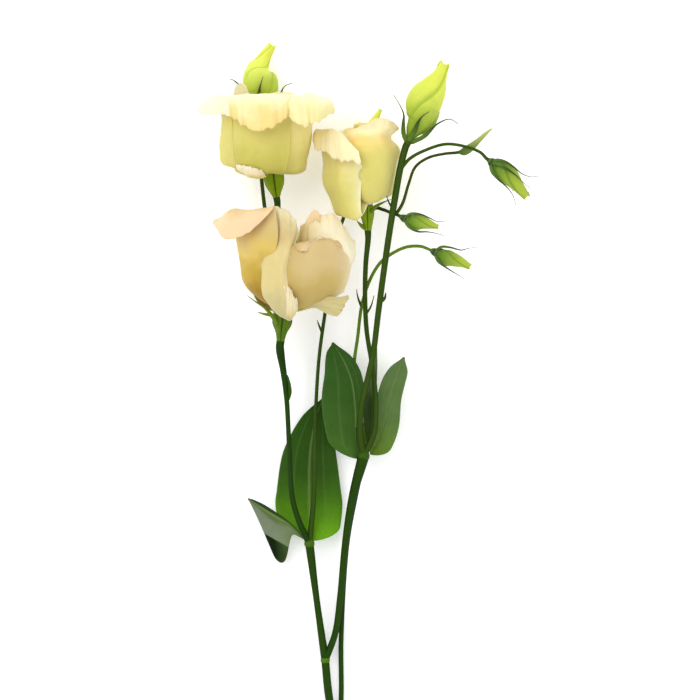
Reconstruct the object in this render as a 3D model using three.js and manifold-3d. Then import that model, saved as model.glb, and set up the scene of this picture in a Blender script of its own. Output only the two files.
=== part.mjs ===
// A cut stem of double lisianthus, lying down: three open blooms, seven buds and five leaves.
// Millimetres. It lies on z = 0 with its length along Y and the blooms towards +Y.
import * as THREE from "three";
import { mergeVertices } from "three/addons/utils/BufferGeometryUtils.js";
import Module from "manifold-3d";

const wasm = await Module();
wasm.setup();

// Driving dimensions
const PETAL_THICKNESS = 0.8;
const LEAF_THICKNESS = 0.9;
const CLEARANCE = 0.35;
const PETAL_SPIRAL = 1.3;
const PETAL_CORE = 6;
const CORNER_ROUNDING = 0.06;
const CALYX_SEAM = 0.92;
const BUD_FOLD = 0.06;
const SEPAL_SHARE = 0.11;
const THINNEST_RADIUS = 0.32;
const PETAL_ROWS = 7;
const PETAL_COLUMNS = 3;
const INNER_ROWS = 3;
const INNER_COLUMNS = 2;
const LEAF_COLUMNS = 2;
const LEAF_BASE = 0.12;
const LEAF_CROWDING = 1.5;
const LEAF_ROOT = 0.1;
const LEAF_GAP = 0.6;
const STEM_SIDES = 7;
const TWIG_SIDES = 6;
const HAIR_SIDES = 4;
const BUD_SIDES = 9;
const BUD_KNOB = 3.4;
const KNOB_RIM = 0.9;
const BLOOM_SEAT = 3.2;
const RECEPTACLE_TOP = 3.9;
const FORK_RADIUS = 2.6;
const LEFT_NODE_RADIUS = 2.9;
const RIGHT_NODE_RADIUS = 3.4;
const GROUND_SIDE = 600;
const GROUND_DEPTH = 20;

// Colours
const COLOURS = {
  stem: 0x3f6a1c,
  leaf: 0x476f2b,
  calyx: 0x66842a,
  cream: 0xf6e3b0,
  blush: 0xf0d6a4,
  ivory: 0xf3dfa2,
  bud: 0xcfe05a,
  greenBud: 0x97b534,
  stamen: 0xd9b53a,
  pistil: 0x9fae4a,
};

// Open blooms. Petals in front are sheets through nets of places, from root to margin and each row
// from left to right, in millimetres to the right of the bloom's base, above it and towards the
// viewer. Petals behind are given by the azimuth of their middle, seen from above the bloom with 0
// facing up from the surface and 90 degrees facing +X, and by radius, height and half width from
// root to margin.
const BLOOMS = [
  {
    name: "bloom_left",
    base: [-52.8, 134.4, 29],
    axis: [-0.13, 0.957, 0.26],
    colour: COLOURS.cream,
    calyxDepth: 15,
    calyxRadii: [2.2, 3, 4.1, 5, 5.5, 5.7, 5.5, 4.8],
    sepals: [120, 190, 250],
    hugging: [],
    sheets: [
      [
        [[-3, 0.5, 1], [-1.5, 0.5, 2], [0, 0.5, 3], [1.5, 0.5, 3], [3, 0.5, 2]],
        [[-18.7, -4.5, 7], [-12, -6.3, 13], [-5.5, -6.3, 16], [-0.5, -5, 17], [6.6, -5.7, 16]],
        [[-21, 3, 13], [-13.7, 2.5, 20], [-5.5, 2.5, 24], [1.6, 2.5, 25], [9.3, 2.5, 23.5]],
        [[-22.5, 13.5, 16], [-14.3, 13.5, 23], [-5.5, 13.5, 27], [2.2, 13.5, 27.5], [10.4, 13.5, 26]],
        [[-23, 27, 18], [-14.3, 27, 25], [-5.5, 27, 28.5], [2.7, 27, 29], [11, 27.3, 27]],
        [[-23.5, 37, 23], [-14.3, 37.5, 30], [-5.5, 37.5, 34], [3, 37.5, 34.5], [11.5, 37, 33]],
        [[-23.5, 33, 28], [-15, 33, 36], [-5.8, 32.5, 40.5], [3, 33.5, 40], [11, 34, 38]],
        [[-22.5, 21.6, 28], [-14.3, 19.4, 36], [-6, 16.8, 41], [2.6, 20.4, 40], [10.4, 24, 36.5]],
      ],
      [
        [[-2, 0.5, 3], [0, 0.5, 3.4], [1.5, 0.5, 3.4], [3, 0.5, 2.4], [3.5, 0.5, 1]],
        [[-1, -4.2, 13], [5.5, -5.2, 13], [10.6, -5.4, 11], [14.4, -5, 8], [17, -4, 2]],
        [[0, 3.6, 22.5], [6.6, 3.6, 22], [13, 3.6, 19], [17.2, 3.6, 13.5], [19.6, 3.6, 5]],
        [[0.5, 13.5, 25], [7.7, 13.5, 25], [14.3, 13.5, 22.5], [19.3, 13.5, 16.5], [21.6, 13.5, 7]],
        [[2.2, 27, 26.5], [9.4, 27, 26.5], [16, 27, 24.5], [21, 27, 19], [22.8, 27, 9]],
        [[3.9, 36, 30], [11, 37, 32], [18.2, 37, 30], [24.2, 37, 24], [27.5, 36.5, 14]],
        [[5.5, 33.5, 35], [12, 32.5, 39], [19.8, 31.5, 38], [27.8, 32, 31], [33, 34, 20]],
        [[8.3, 26, 35], [14.3, 21.4, 38.5], [21, 19.4, 37.5], [27, 23, 31], [35, 27, 20]],
      ],
      [
        [[-3.4, 0.5, 1], [-2.6, 0.5, 2], [-1.6, 0.5, 3], [-0.6, 0.5, 3.4], [0.4, 0.5, 3.6]],
        [[-15.6, -3.4, 3], [-12.6, -5.6, 9], [-9.4, -6.8, 13], [-6, -7.2, 15.4], [-2.6, -6.6, 16.4]],
        [[-19.4, -2.4, 9], [-15.6, -4.6, 14.6], [-11.4, -6, 18], [-7.4, -6.4, 19.8], [-4, -5.6, 20.2]],
        [[-19.8, 0.8, 12.6], [-15.8, -0.6, 18], [-11.6, -1.8, 21.6], [-8, -2.6, 22.8], [-5.6, -3.2, 22.6]],
      ],
      [
        [[-3.4, 0.5, -2], [-3.8, 0.5, -1], [-3.8, 0.5, 0.5], [-3.4, 0.5, 1.5], [-2.4, 0.5, 3]],
        [[-17, -1, -9], [-22.5, -1, -4], [-25.4, -0.5, 2], [-23, -1, 7], [-17.6, -3, 10]],
        [[-20, 8, -10], [-25.5, 8, -4], [-28.6, 8, 3], [-26.4, 7.6, 10], [-20.6, 6.4, 15.6]],
        [[-21, 17, -10], [-26, 17, -4], [-28, 17, 4], [-26.4, 17, 11.6], [-21, 17, 18.2]],
        [[-22, 27, -10], [-26.5, 27, -4], [-27.6, 26.5, 4], [-26.4, 26, 13], [-21.4, 26, 19.8]],
        [[-24, 36.5, -11], [-28, 37, -5], [-30.5, 37, 4], [-27, 37.4, 16], [-19, 37.6, 25.4]],
        [[-29, 36.5, -12], [-34.5, 35, -5], [-36.4, 34, 5], [-31, 32.6, 20], [-19, 33.4, 30]],
        [[-34, 33, -12], [-39, 30.4, -5], [-40.6, 28.2, 5], [-31.4, 26, 20], [-18, 25, 30]],
      ],
    ],
    petals: [
      { az: 97, radius: [1.5, 12, 17.5, 20.5, 21.5, 22.5, 25.5, 30.5, 33.5],
        height: [0.5, -1.5, 0.5, 7, 18, 28, 33.4, 33.6, 28], width: [3, 11, 15, 16, 16, 16, 16, 15, 12] },
      { az: 142, radius: [1.5, 11, 17, 20, 20.5, 20, 19.5, 19.5, 20],
        height: [0.5, -1, 1, 7, 17, 26, 31, 34.5, 36], width: [3, 11, 15, 17, 17, 15, 13, 11, 8] },
      { az: 190, radius: [1.5, 11, 17, 19.5, 19.5, 19, 18, 17, 16.5],
        height: [0.5, -1, 1, 7, 16, 24, 28.4, 31, 32.6], width: [3, 11, 15, 17, 17, 16, 15, 14, 12] },
      { az: 234, radius: [1.5, 11, 17, 20, 20.5, 19, 17, 15.6, 14.6],
        height: [0.5, -1, 1, 7, 17, 27, 34, 40, 46], width: [3, 11, 15, 17, 17, 15, 10, 6, 3] },
    ],
    inner: { count: 4, start: 20, radius: [1.5, 8, 13, 15, 15.5, 17], height: [1, 1.4, 6, 15, 25, 33.5],
      width: [3, 8, 11, 13, 13, 10] },
  },
  {
    name: "bloom_front",
    base: [-46.6, 55, 30],
    axis: [0.085, 0.965, 0.22],
    colour: COLOURS.blush,
    calyxDepth: 15,
    calyxRadii: [2.2, 2.5, 3, 3.8, 4.9, 5.5, 5.4, 4.8],
    sepals: [165, 200, 235],
    hugging: [
      [[-3.4, -8, 3.4], [-5.8, -4.4, 4.8], [-10, 0.6, 5.6], [-15.2, 4, 4], [-19.8, 7.4, 1.4]],
    ],
    sheets: [
      [
        [[-3.4, 0.5, -1], [-3.4, 0.5, 0.5], [-3, 0.5, 1.5], [-2.4, 0.5, 2.5], [-1.4, 0.5, 3]],
        [[-12, 6, -5], [-14.4, 6.4, 3], [-11, 4.6, 9], [-6, 2, 11.6], [-1, 0.4, 12]],
        [[-19, 14.4, -5], [-21.8, 14.6, 5], [-17, 14, 12], [-11, 13, 15], [-4, 12, 16]],
        [[-20.5, 26, -5], [-23.8, 26, 5], [-18.6, 26, 13.5], [-12, 26.6, 18], [-4.4, 27, 20.6]],
        [[-22, 37, -6], [-25.6, 37, 5], [-20, 38, 16], [-12, 39.4, 22], [-2.6, 41, 24.6]],
        [[-27, 51, -6], [-28, 54, 4], [-21, 54, 15], [-12, 54.4, 21.6], [-4.4, 55.4, 24]],
        [[-33, 51, -4], [-34.4, 49.6, 8], [-27, 46.6, 21], [-16, 49.6, 26], [-5.6, 54.6, 25.4]],
        [[-42.6, 48, -1], [-37.4, 43.4, 11], [-28.8, 36.6, 22.4], [-18.6, 41.6, 26.4], [-6.8, 53, 25.8]],
      ],
      [
        [[-2, 0.5, 2.4], [-1, 0.5, 3], [0, 0.5, 3.4], [1, 0.5, 3], [2, 0.5, 2.4]],
        [[-9.5, 5, 13.5], [-5.5, -0.6, 14.5], [-0.5, -4.4, 15], [3.9, -6, 16], [7, -1.4, 15.6]],
        [[-11.7, 10.5, 18], [-7.3, 10, 21.6], [-4, 9.6, 23.6], [-0.2, 9.6, 24], [3.6, 10, 22.6]],
        [[-11.7, 21.5, 18], [-8.4, 21.5, 22], [-4.6, 21.5, 24.6], [-1, 21.5, 25.4], [2.4, 21.5, 24]],
        [[-13, 33, 15.4], [-9, 32.5, 18.8], [-4, 32.5, 22.2], [1, 32.5, 23.8], [5.4, 32, 22.2]],
        [[-13, 43, 15.6], [-8, 42.5, 19.4], [-3, 42.5, 22.4], [2.8, 42, 23], [8.4, 40.5, 19]],
        [[-12, 54.4, 20], [-7.4, 55.6, 21], [-3, 56, 21.4], [2.8, 54, 19.6], [7.2, 47.5, 16.6]],
      ],
      [
        [[-1, 0.5, 2.8], [-0.2, 0.5, 3], [0.6, 0.5, 3.2], [1.4, 0.5, 3], [2.2, 0.5, 2.4]],
        [[1.2, -3.4, 16.8], [2.8, -4.2, 17.4], [4.4, -4.4, 17.4], [6, -3.2, 17], [7.4, -1.2, 16]],
        [[1.2, 5, 22.6], [2.8, 4.6, 23.2], [4.4, 4, 23], [6.2, 3, 22], [8, 1.8, 20.4]],
        [[0.6, 14, 26], [2.4, 13, 26.2], [4.4, 10.6, 25.6], [6.6, 7, 24.4], [8.6, 3, 22]],
      ],
      [
        [[0, 0.5, 3.4], [1.4, 0.5, 3.4], [2.4, 0.5, 3], [3.4, 0.5, 2], [3.8, 0.5, 0]],
        [[2.5, 3, 13], [8, 1, 14], [16, 1.4, 13], [24, 4.6, 9], [30, 8, 1]],
        [[2, 10.5, 21], [9.2, 10.5, 24.5], [19, 10.5, 25], [27.9, 11, 19.5], [34, 12, 8]],
        [[2, 20.4, 23.6], [10.3, 20.4, 28], [20.2, 20.4, 28.5], [30, 20.4, 22.5], [36.6, 20.4, 11]],
        [[3.1, 29, 22.6], [10.8, 29, 27.5], [20.2, 29.4, 28], [29.6, 29, 22.5], [36.2, 28, 12]],
        [[5, 35, 21.6], [12, 36, 25.6], [19, 37.6, 26], [26.6, 36.8, 21.4], [33, 32, 13]],
        [[7.4, 34, 24.6], [11.6, 35.4, 28], [17.6, 38.8, 26.4], [26.6, 38, 21.8], [33.4, 32.6, 13.4]],
        [[9, 30.4, 26], [12.6, 30.8, 29.4], [16, 36.4, 27.8], [26.6, 38, 22.4], [33.8, 32, 14]],
      ],
      [
        [[2.5, 0.5, 0], [3.3, 0.5, 1], [3.8, 0.5, 0], [3.8, 0.5, -1.5], [3, 0.5, -2.5]],
        [[12, 6.4, 7], [19, 6.4, 6], [25, 7, 0], [27, 8, -5], [26, 9, -10]],
        [[14, 18.4, 16], [23, 18.4, 16], [31.6, 19, 8], [34.4, 19, 0], [32, 19, -8]],
        [[15, 29, 18], [25, 29.5, 18], [35.4, 29.5, 12], [40, 29, 4], [38, 29, -6]],
        [[14, 38.6, 17], [21.6, 40, 17], [31, 40.4, 13], [38.6, 36, 5], [39, 33, -5]],
        [[12.6, 47, 14], [19, 51.6, 13], [27, 52, 10], [34.4, 44.6, 5], [38.6, 38.4, -2]],
      ],
      [
        [[1, 0.5, 1], [1.6, 0.5, 1], [2.2, 0.5, 0.6], [2.8, 0.5, 0.2], [3.2, 0.5, -0.4]],
        [[4, 6, 7], [7, 6, 8.6], [11, 6, 9], [14, 6, 8], [17, 6, 6]],
        [[6, 18, 11], [10, 18, 13], [15, 18, 14], [19, 18, 13], [23, 18, 10]],
        [[8, 31, 13], [12, 31, 15], [17, 31, 15.6], [22, 31, 14.6], [27, 31, 11]],
        [[9.4, 43, 12.6], [13, 45.6, 14], [17.6, 46, 14], [23, 46, 12.6], [29, 46, 9]],
        [[9.8, 45, 12.4], [13.4, 50, 13.4], [17, 54.6, 13], [22.6, 50, 11.6], [29.4, 53, 8]],
      ],
      [
        [[0, 0, 3], [1, -0.2, 3], [2, -0.4, 2.6], [3, -0.4, 1.6], [3.6, -0.2, 0.4]],
        [[7, -1.6, 8], [9.5, -0.8, 10], [12, 0.4, 11], [14.5, 1.6, 11], [17, 3, 10]],
        [[17, 0.4, 13], [18.4, 2.4, 15], [20, 4.4, 16], [21.4, 6, 16], [23, 7.4, 15]],
        [[24, -2.6, 16], [26, 0.2, 18.4], [27.6, 3, 19], [29, 5.2, 18.6], [30.6, 6.6, 17.4]],
        [[29.8, -4.2, 17], [32.4, -1.6, 19], [34.2, 1.6, 19.8], [35.8, 5, 19], [36.8, 7.8, 17.6]],
      ],
    ],
    petals: [
      { az: 134, radius: [1.5, 8, 14, 18.5, 20.5, 21.5, 22, 22, 22],
        height: [0.5, 0.5, 4, 11, 20, 29, 36, 41, 43], width: [3, 8, 12, 15, 16, 16, 15, 14, 12] },
      { az: 186, radius: [1.5, 8, 13.5, 16.5, 17, 16, 15, 14.6, 14.6],
        height: [0.5, 0.5, 5, 12, 21, 29, 34, 37, 38.5], width: [3, 8, 12, 14, 15, 15, 15, 13, 11] },
      { az: 240, radius: [1.5, 8, 14, 17.5, 18.5, 18.5, 18, 18, 18],
        height: [0.5, 0.5, 5, 13, 24, 34, 41, 45, 47], width: [3, 8, 12, 15, 16, 15, 14, 12, 9] },
    ],
    inner: { count: 3, start: 65, radius: [1.5, 7, 11, 12.5, 12.5, 13], height: [1, 2, 8, 18, 29, 39],
      width: [3, 7, 10, 12, 12, 10] },
  },
  {
    name: "bloom_middle",
    base: [-0.6, 115.5, 27],
    axis: [-0.03, 0.992, 0.12],
    colour: COLOURS.ivory,
    calyxDepth: 14,
    calyxRadii: [2.1, 2.4, 2.8, 3.3, 3.7, 3.9, 3.8, 3.2],
    sepals: [200, 250],
    hugging: [
      [[2, -7.2, 2.2], [4.6, -4.4, 4.6], [8.8, -2, 6.8], [13.4, -0.2, 4.4]],
      [[-1.2, -16.2, -0.6], [-3, -14.6, 1.2], [-4.6, -13, 2.6], [-5.6, -11.8, 3.4]],
    ],
    sheets: [
      [
        [[-3.4, 0.5, -1], [-3.4, 0.5, 1], [-3, 0.5, 2.4], [-1.4, 0.5, 3.4], [0, 0.5, 3.8]],
        [[-11, -1, 0], [-10, -1.4, 4], [-7.4, -1.6, 8], [-3.6, -1.8, 10], [1, -1.4, 10.4]],
        [[-16, -6.6, 0], [-16, -8.8, 6], [-10.6, -10.6, 12], [-5.4, -11.6, 15], [-2.6, -8.6, 16.4]],
        [[-18, 0, -1], [-19.6, 0, 6], [-14.5, -0.6, 14], [-9, -0.8, 17], [-3.4, -0.8, 17.6]],
        [[-22, 9.5, -2], [-23.6, 9.5, 6], [-17.5, 9.5, 15.6], [-11, 9, 19.6], [-3, 8.5, 20.8]],
        [[-22, 20, -2], [-23.4, 20, 6], [-17, 20, 16], [-11.4, 18, 20.8], [-2.6, 16.4, 22.6]],
        [[-24, 29.6, -2], [-24.6, 29.6, 8], [-18.6, 29.6, 16], [-13, 26.6, 21], [-3.8, 20.4, 24]],
        [[-26.6, 37.8, 2], [-25.4, 38, 10], [-19, 38, 17], [-14.4, 35.6, 21], [-5, 25.6, 27]],
        [[-29, 36.4, 9], [-28, 34.6, 14], [-21, 34, 21.6], [-14.4, 30.6, 26], [-4, 23.4, 30]],
        [[-29.8, 30.4, 11], [-28, 25.4, 15], [-20.6, 22.6, 22.6], [-12, 17.6, 27.6], [-1.6, 15.4, 29.6]],
      ],
      [
        [[-1, 0.5, 3.8], [1, 0.5, 3.6], [2.4, 0.5, 2.8], [3.4, 0.5, 1.2], [3.8, 0.5, -1]],
        [[-2.4, -1, 14], [1.8, -2.2, 14.4], [6.2, -1.2, 13.2], [10.4, 1, 9.4], [13.4, 2.2, 2]],
        [[-8, 9.5, 18.8], [0, 9.4, 21.4], [7.5, 9.5, 20], [12.3, 9.5, 13.8], [14.6, 9.5, 4.6]],
        [[-8, 19, 20], [1, 18.7, 23.4], [8.6, 18.7, 21.8], [13.6, 18.7, 15], [16, 18.7, 6]],
        [[-9, 26, 19.4], [0, 27, 23.2], [9, 27, 21.6], [15, 27, 15], [17.8, 27, 6.4]],
        [[-11.6, 31.4, 15], [-3, 32.6, 21.4], [4, 34, 22.2], [9.6, 34, 18.4], [12.6, 33.4, 10]],
        [[-13, 35, 13.6], [-4.6, 36.2, 21], [4.2, 39, 21.6], [11.4, 39.4, 18.6], [15.2, 36.2, 10.6]],
        [[-13.8, 37.8, 13], [-5, 38.8, 21.4], [4.4, 43.4, 22.4], [13, 43.6, 18.6], [18.6, 38.4, 10.6]],
      ],
    ],
    petals: [
      { az: 108, radius: [1.5, 8, 12.4, 15, 15, 14.6, 14.6, 15.4, 16],
        height: [0.5, 1, 4, 11, 20, 28, 34, 38, 39], width: [3, 8, 12, 14, 14, 14, 14, 12, 9] },
      { az: 162, radius: [1.5, 8, 12.5, 14.5, 14.5, 14, 14, 14.5, 16],
        height: [0.5, 0, 3, 10, 20, 29, 35.6, 40, 42], width: [3, 8, 11, 13, 14, 14, 13, 12, 10] },
      { az: 216, radius: [1.5, 8, 12.5, 14.5, 14.5, 14, 14, 14.5, 16],
        height: [0.5, -1, 1.5, 8, 18, 27, 33, 37, 38], width: [3, 8, 11, 13, 14, 14, 13, 12, 10] },
      { az: -96, radius: [1.5, 9, 15, 18, 18.5, 19, 19.5, 20.5, 21],
        height: [0.5, -1.8, -0.8, 6, 16, 24, 30, 33, 34], width: [3, 8, 12, 14, 15, 15, 15, 13, 10] },
    ],
    inner: { count: 3, start: 30, radius: [1.5, 6, 10, 12, 12, 12.5], height: [1, 1.4, 6, 15, 25, 34],
      width: [3, 6, 9.5, 12, 12, 9] },
  },
];

// Closed buds: petals rolled round a curved spine, with a radius at each place of it, the angle of the
// fold between two petals along it, and the routes of the sepals
const BUDS = [
  { name: "bud_back_left", colour: COLOURS.bud,
    spine: [[-59.4, 170, 9.4], [-59, 173.2, 9.8], [-58.9, 176.5, 10], [-60, 181, 10.2],
      [-60.4, 185.3, 10.2], [-60, 188.6, 10.2], [-58.4, 191.9, 10.4], [-56.6, 195.2, 10.6],
      [-54.2, 198.5, 10.8], [-52.9, 200.7, 11]],
    radii: [3.4, 7.4, 9.1, 9.5, 8.2, 5.8, 4.2, 3.3, 2.7, 2.2],
    twist: [-100, -84, -62, -44, -18, 66, 95, 110, 125],
    sepals: [
      [[-60, 168, 13.2], [-60.2, 172, 18.4], [-60, 175, 20.4], [-59, 179.4, 21.4], [-57.8, 183.2, 20.6]],
      [[-62.5, 168.6, 9.4], [-68.4, 173.2, 9.6], [-70.6, 178, 9.8], [-74.3, 181.5, 10], [-76.5, 182, 10]],
      [[-56.4, 168, 9.4], [-51.2, 170.2, 9.6], [-48.4, 174, 9.8], [-46, 178.2, 10], [-41.8, 179.9, 10]],
      [[-61, 168.4, 6.4], [-64.4, 171, 4.6], [-68, 175.6, 4.2]],
      [[-57.4, 168.4, 6.4], [-54, 171, 4.6], [-50, 175.6, 4.2]],
    ] },
  { name: "bud_tall", colour: COLOURS.bud,
    spine: [[22.9, 148.5, 40.9], [25.2, 153.2, 41], [28.4, 157.9, 41.1], [29.6, 162.3, 41.2],
      [30.6, 166.7, 41.2], [32.7, 171, 41.2], [35.1, 174.9, 41.2], [37.1, 178.8, 41.2],
      [39.4, 183.7, 41.2], [41.8, 189.4, 41.2]],
    radii: [2.2, 4.8, 7.5, 8.7, 9.7, 9.3, 8, 6.2, 4, 3], twist: [-70, -35, 8, 38, 74],
    sepals: [
      [[21.4, 146.4, 41.4], [19.6, 151, 44], [19.4, 157, 46], [19.6, 161.6, 45], [17.4, 167, 43],
        [13.9, 172.7, 41.6]],
      [[24, 146.4, 42.4], [30.6, 149.6, 45], [35, 153.8, 46.4], [38.8, 157, 43.4], [44.8, 159.2, 41.6],
        [49.5, 156.4, 41]],
      [[22.2, 147.2, 43.4], [25.5, 152.7, 47], [27.5, 157.3, 50], [29.7, 160.4, 51], [33.6, 163.1, 50]],
      [[22, 147, 38.4], [24.6, 152, 35.4], [27, 158, 32.4], [27.6, 164, 31]],
      [[23, 147, 38.8], [28, 151, 35.8], [33, 156.4, 33], [36, 162, 32]],
    ] },
  { name: "bud_droop", colour: COLOURS.greenBud,
    spine: [[68.8, 134.8, 41.2], [71, 133.2, 40.8], [74.4, 130.4, 40.2], [78, 127.2, 39.4],
      [82, 123, 38.4], [87, 116.8, 37]],
    radii: [1.8, 4.4, 5.4, 4.8, 3.5, 2.1], twist: [-60, -10, 40, 90],
    sepals: [
      [[67.9, 135.6, 42], [70.4, 136.6, 44], [75.4, 135.6, 45], [80.4, 132.4, 43.2], [84, 129.4, 41.4],
        [88.8, 127.6, 40.4], [93.4, 127.8, 40]],
      [[68.4, 135, 43], [72, 134, 46.8], [76, 131.8, 47.2], [80.6, 128.6, 45.4], [84.4, 125, 43],
        [89.2, 121, 41]],
      [[67, 134.4, 42], [68.2, 130, 44.6], [71.6, 126, 44.4], [75.8, 122.2, 42], [79.4, 117.6, 40.6],
        [81.2, 111.8, 39.4]],
      [[67.2, 134.8, 39.4], [69, 130.8, 36.2], [72.6, 127.4, 34.6], [76.4, 124.4, 33.8], [80, 119.6, 33]],
      [[68.2, 136.2, 39.4], [72.4, 135.6, 36.2], [76.4, 133, 34.8], [80.4, 129, 33.8], [84, 124.6, 33]],
    ] },
  { name: "bud_small_upper", colour: COLOURS.greenBud,
    spine: [[20.6, 104.4, 36.6], [23, 103.2, 36.4], [26.6, 102.6, 36.2], [30.6, 102.2, 36],
      [34.4, 101.2, 35.6], [38.4, 100.2, 35]],
    radii: [1.3, 3.4, 4.3, 3.4, 2.2, 1.2], twist: [-80, -30, 20, 60],
    sepals: [
      [[20.4, 105.6, 36.8], [23.6, 107.2, 38.6], [28.4, 107, 38.4], [34, 104.8, 37.2], [38, 103, 36.6],
        [43.4, 103.4, 36]],
      [[19.6, 104.9, 35], [22.6, 103.4, 32.2], [26, 102.9, 31], [31, 102.3, 31]],
      [[20, 103.6, 37.4], [22.6, 100, 39.2], [27.2, 97.6, 38.8], [32.4, 97.4, 37.4], [37.4, 96.6, 36.6],
        [42, 95.2, 36]],
      [[19.4, 104, 35.4], [22, 101, 32.8], [26, 100, 31.9], [30, 99.4, 31.6]],
      [[19.8, 105.6, 35.4], [23, 106.1, 32.8], [26.6, 105.5, 31.8], [31, 104.8, 31.6]],
    ] },
  { name: "bud_small_lower", colour: COLOURS.greenBud,
    spine: [[37.6, 86, 25], [40.2, 84.8, 24.8], [43.8, 83.2, 24.4], [48, 81.8, 24], [52, 80.4, 23.4],
      [56, 78.4, 22.6]],
    radii: [1.4, 3.4, 4.4, 3.6, 2.5, 1.6], twist: [-80, -30, 20, 60],
    sepals: [
      [[37.2, 87.2, 25.2], [40.4, 89.2, 25.8], [45.6, 88.8, 26], [51.2, 87.4, 25.6], [55.4, 88.4, 25],
        [60, 89, 24.6]],
      [[36.8, 86.2, 23.2], [39.6, 85, 20.6], [43.4, 83.6, 19.2], [48, 82.4, 19.2]],
      [[36.8, 85.2, 25.6], [38.6, 81.4, 27.2], [42, 78.6, 26.6], [46, 76, 25.6], [50, 73.6, 25],
        [53.6, 71.4, 24.4]],
      [[36.6, 85.4, 23.6], [39, 82.6, 21], [42.6, 80.6, 19.9], [46.8, 79.4, 19.6]],
      [[37, 87, 23.6], [40.4, 87.8, 21.2], [44.2, 86.2, 20], [48.4, 85, 19.6]],
    ] },
  { name: "bud_hidden", colour: COLOURS.bud,
    spine: [[-2.2, 131, 5.6], [-1.6, 135, 6], [-0.6, 141, 6.2], [0.4, 147, 6.2], [1.8, 153.4, 6.4],
      [4, 159.6, 6.6], [7, 165.4, 6.8]],
    radii: [2.2, 4.8, 6, 6, 4.2, 2.2, 1], twist: [-60, 0, 60],
    sepals: [
      [[-4, 129, 6], [-8, 134, 6.4], [-9.4, 140, 6.4], [-9.6, 146, 6]],
      [[-2, 128.6, 8], [-1.6, 134, 12.4], [-1, 140, 13.6], [0, 146, 13.6]],
      [[-0.6, 129, 6], [4.4, 133, 6.4], [6.8, 139, 6.4], [8.2, 145, 6]],
    ] },
];

// Leaves, each spread to both sides of a midrib, with half widths from base to tip
const LEAVES = [
  { name: "leaf_lower_broad", rows: 9, wave: 0.9, cup: 2.2,
    midrib: [[-31.6, -72.8, 9], [-32.2, -60, 6], [-32.6, -47, 4.6], [-31.8, -22, 4.2], [-28.4, -4, 5],
      [-24.8, 6, 6]],
    left: [5, 12.6, 17.6, 18.6, 17.4, 15.6, 12.4, 8.6, 4.6, 0.5],
    right: [15, 16.6, 17.8, 18.4, 17.2, 15, 11.6, 7.2, 4, 0.5],
    leftWay: [-1, 0, 0], rightWay: [1, 0, 0] },
  { name: "leaf_lower_folded", rows: 8, wave: 0.3, cup: 0,
    midrib: [[-35, -72, 10.8], [-43, -64, 12.4], [-53.4, -57.6, 13], [-60, -53.6, 12.6],
      [-66.2, -49.6, 11.6]],
    left: [1.2, 2.2, 3, 4, 5, 5, 4, 2.6, 0.4],
    right: [1.2, 2.6, 7, 24.5, 27, 20, 12, 5.5, 0.4],
    leftWay: [-0.3, 0.6, -0.74], rightWay: [0.1, -0.95, -0.28] },
  { name: "leaf_upper_left", rows: 8, wave: 0.6, cup: 2.4,
    midrib: [[-5.4, -27.5, 16.2], [-6.2, -13, 15.8], [-6.8, 2, 16.4], [-9, 16, 17.2], [-13.6, 27, 16.4],
      [-19.5, 36.6, 14]],
    left: [14.6, 16.6, 18.2, 19, 17.6, 14.6, 11.4, 7, 0.5],
    right: [0.8, 2, 3, 4, 5.6, 6.6, 7, 5.4, 0.5],
    leftWay: [-1, 0.12, 0], rightWay: [1, -0.12, 0] },
  { name: "leaf_upper_right", rows: 8, wave: 0.7, cup: 2,
    midrib: [[1.4, -25, 15], [6, -16, 14.2], [9.4, -6, 14], [12, 6, 14.8], [15.6, 18, 16.4],
      [19.8, 28.6, 19]],
    left: [1, 3.4, 5, 6, 6.8, 7, 6.6, 4.6, 0.4],
    right: [8.6, 8.8, 8.8, 8.4, 7.4, 6.4, 6, 5, 0.4],
    leftWay: [-0.95, 0.3, 0], rightWay: [0.95, -0.3, 0] },
  { name: "leaf_upper_narrow", rows: 5, wave: 0.3, cup: 0.8,
    midrib: [[-0.8, -24, 13.8], [0.8, -18, 10.6], [1.4, -8, 8.8], [1.8, 6, 8.8], [3.2, 22, 10.2],
      [4.6, 37.6, 12.6]],
    left: [0.6, 2.2, 3.8, 4, 3.4, 2.4, 0.4],
    right: [0.6, 2.4, 3.4, 3.2, 2.6, 1.8, 0.4],
    leftWay: [-1, 0, 0], rightWay: [1, 0, 0] },
];

// Places where stems join
const CUT_END = [-17, -201.5, 1.9];
const LOWEST_JOINT = [-16.5, -183, 2.3];
const FORK = [-23.6, -139, 5.5];
const LEFT_NODE = [-32.3, -74.5, 11.5];
const RIGHT_NODE = [-2.4, -26, 18.5];
const TWIN_JOINT = [-46.7, 21.5, 19];
const BACK_BUD_JOINT = [-49.5, 66, 11.8];
const TWIG_JOINT = [15.4, 107, 38];

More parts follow.
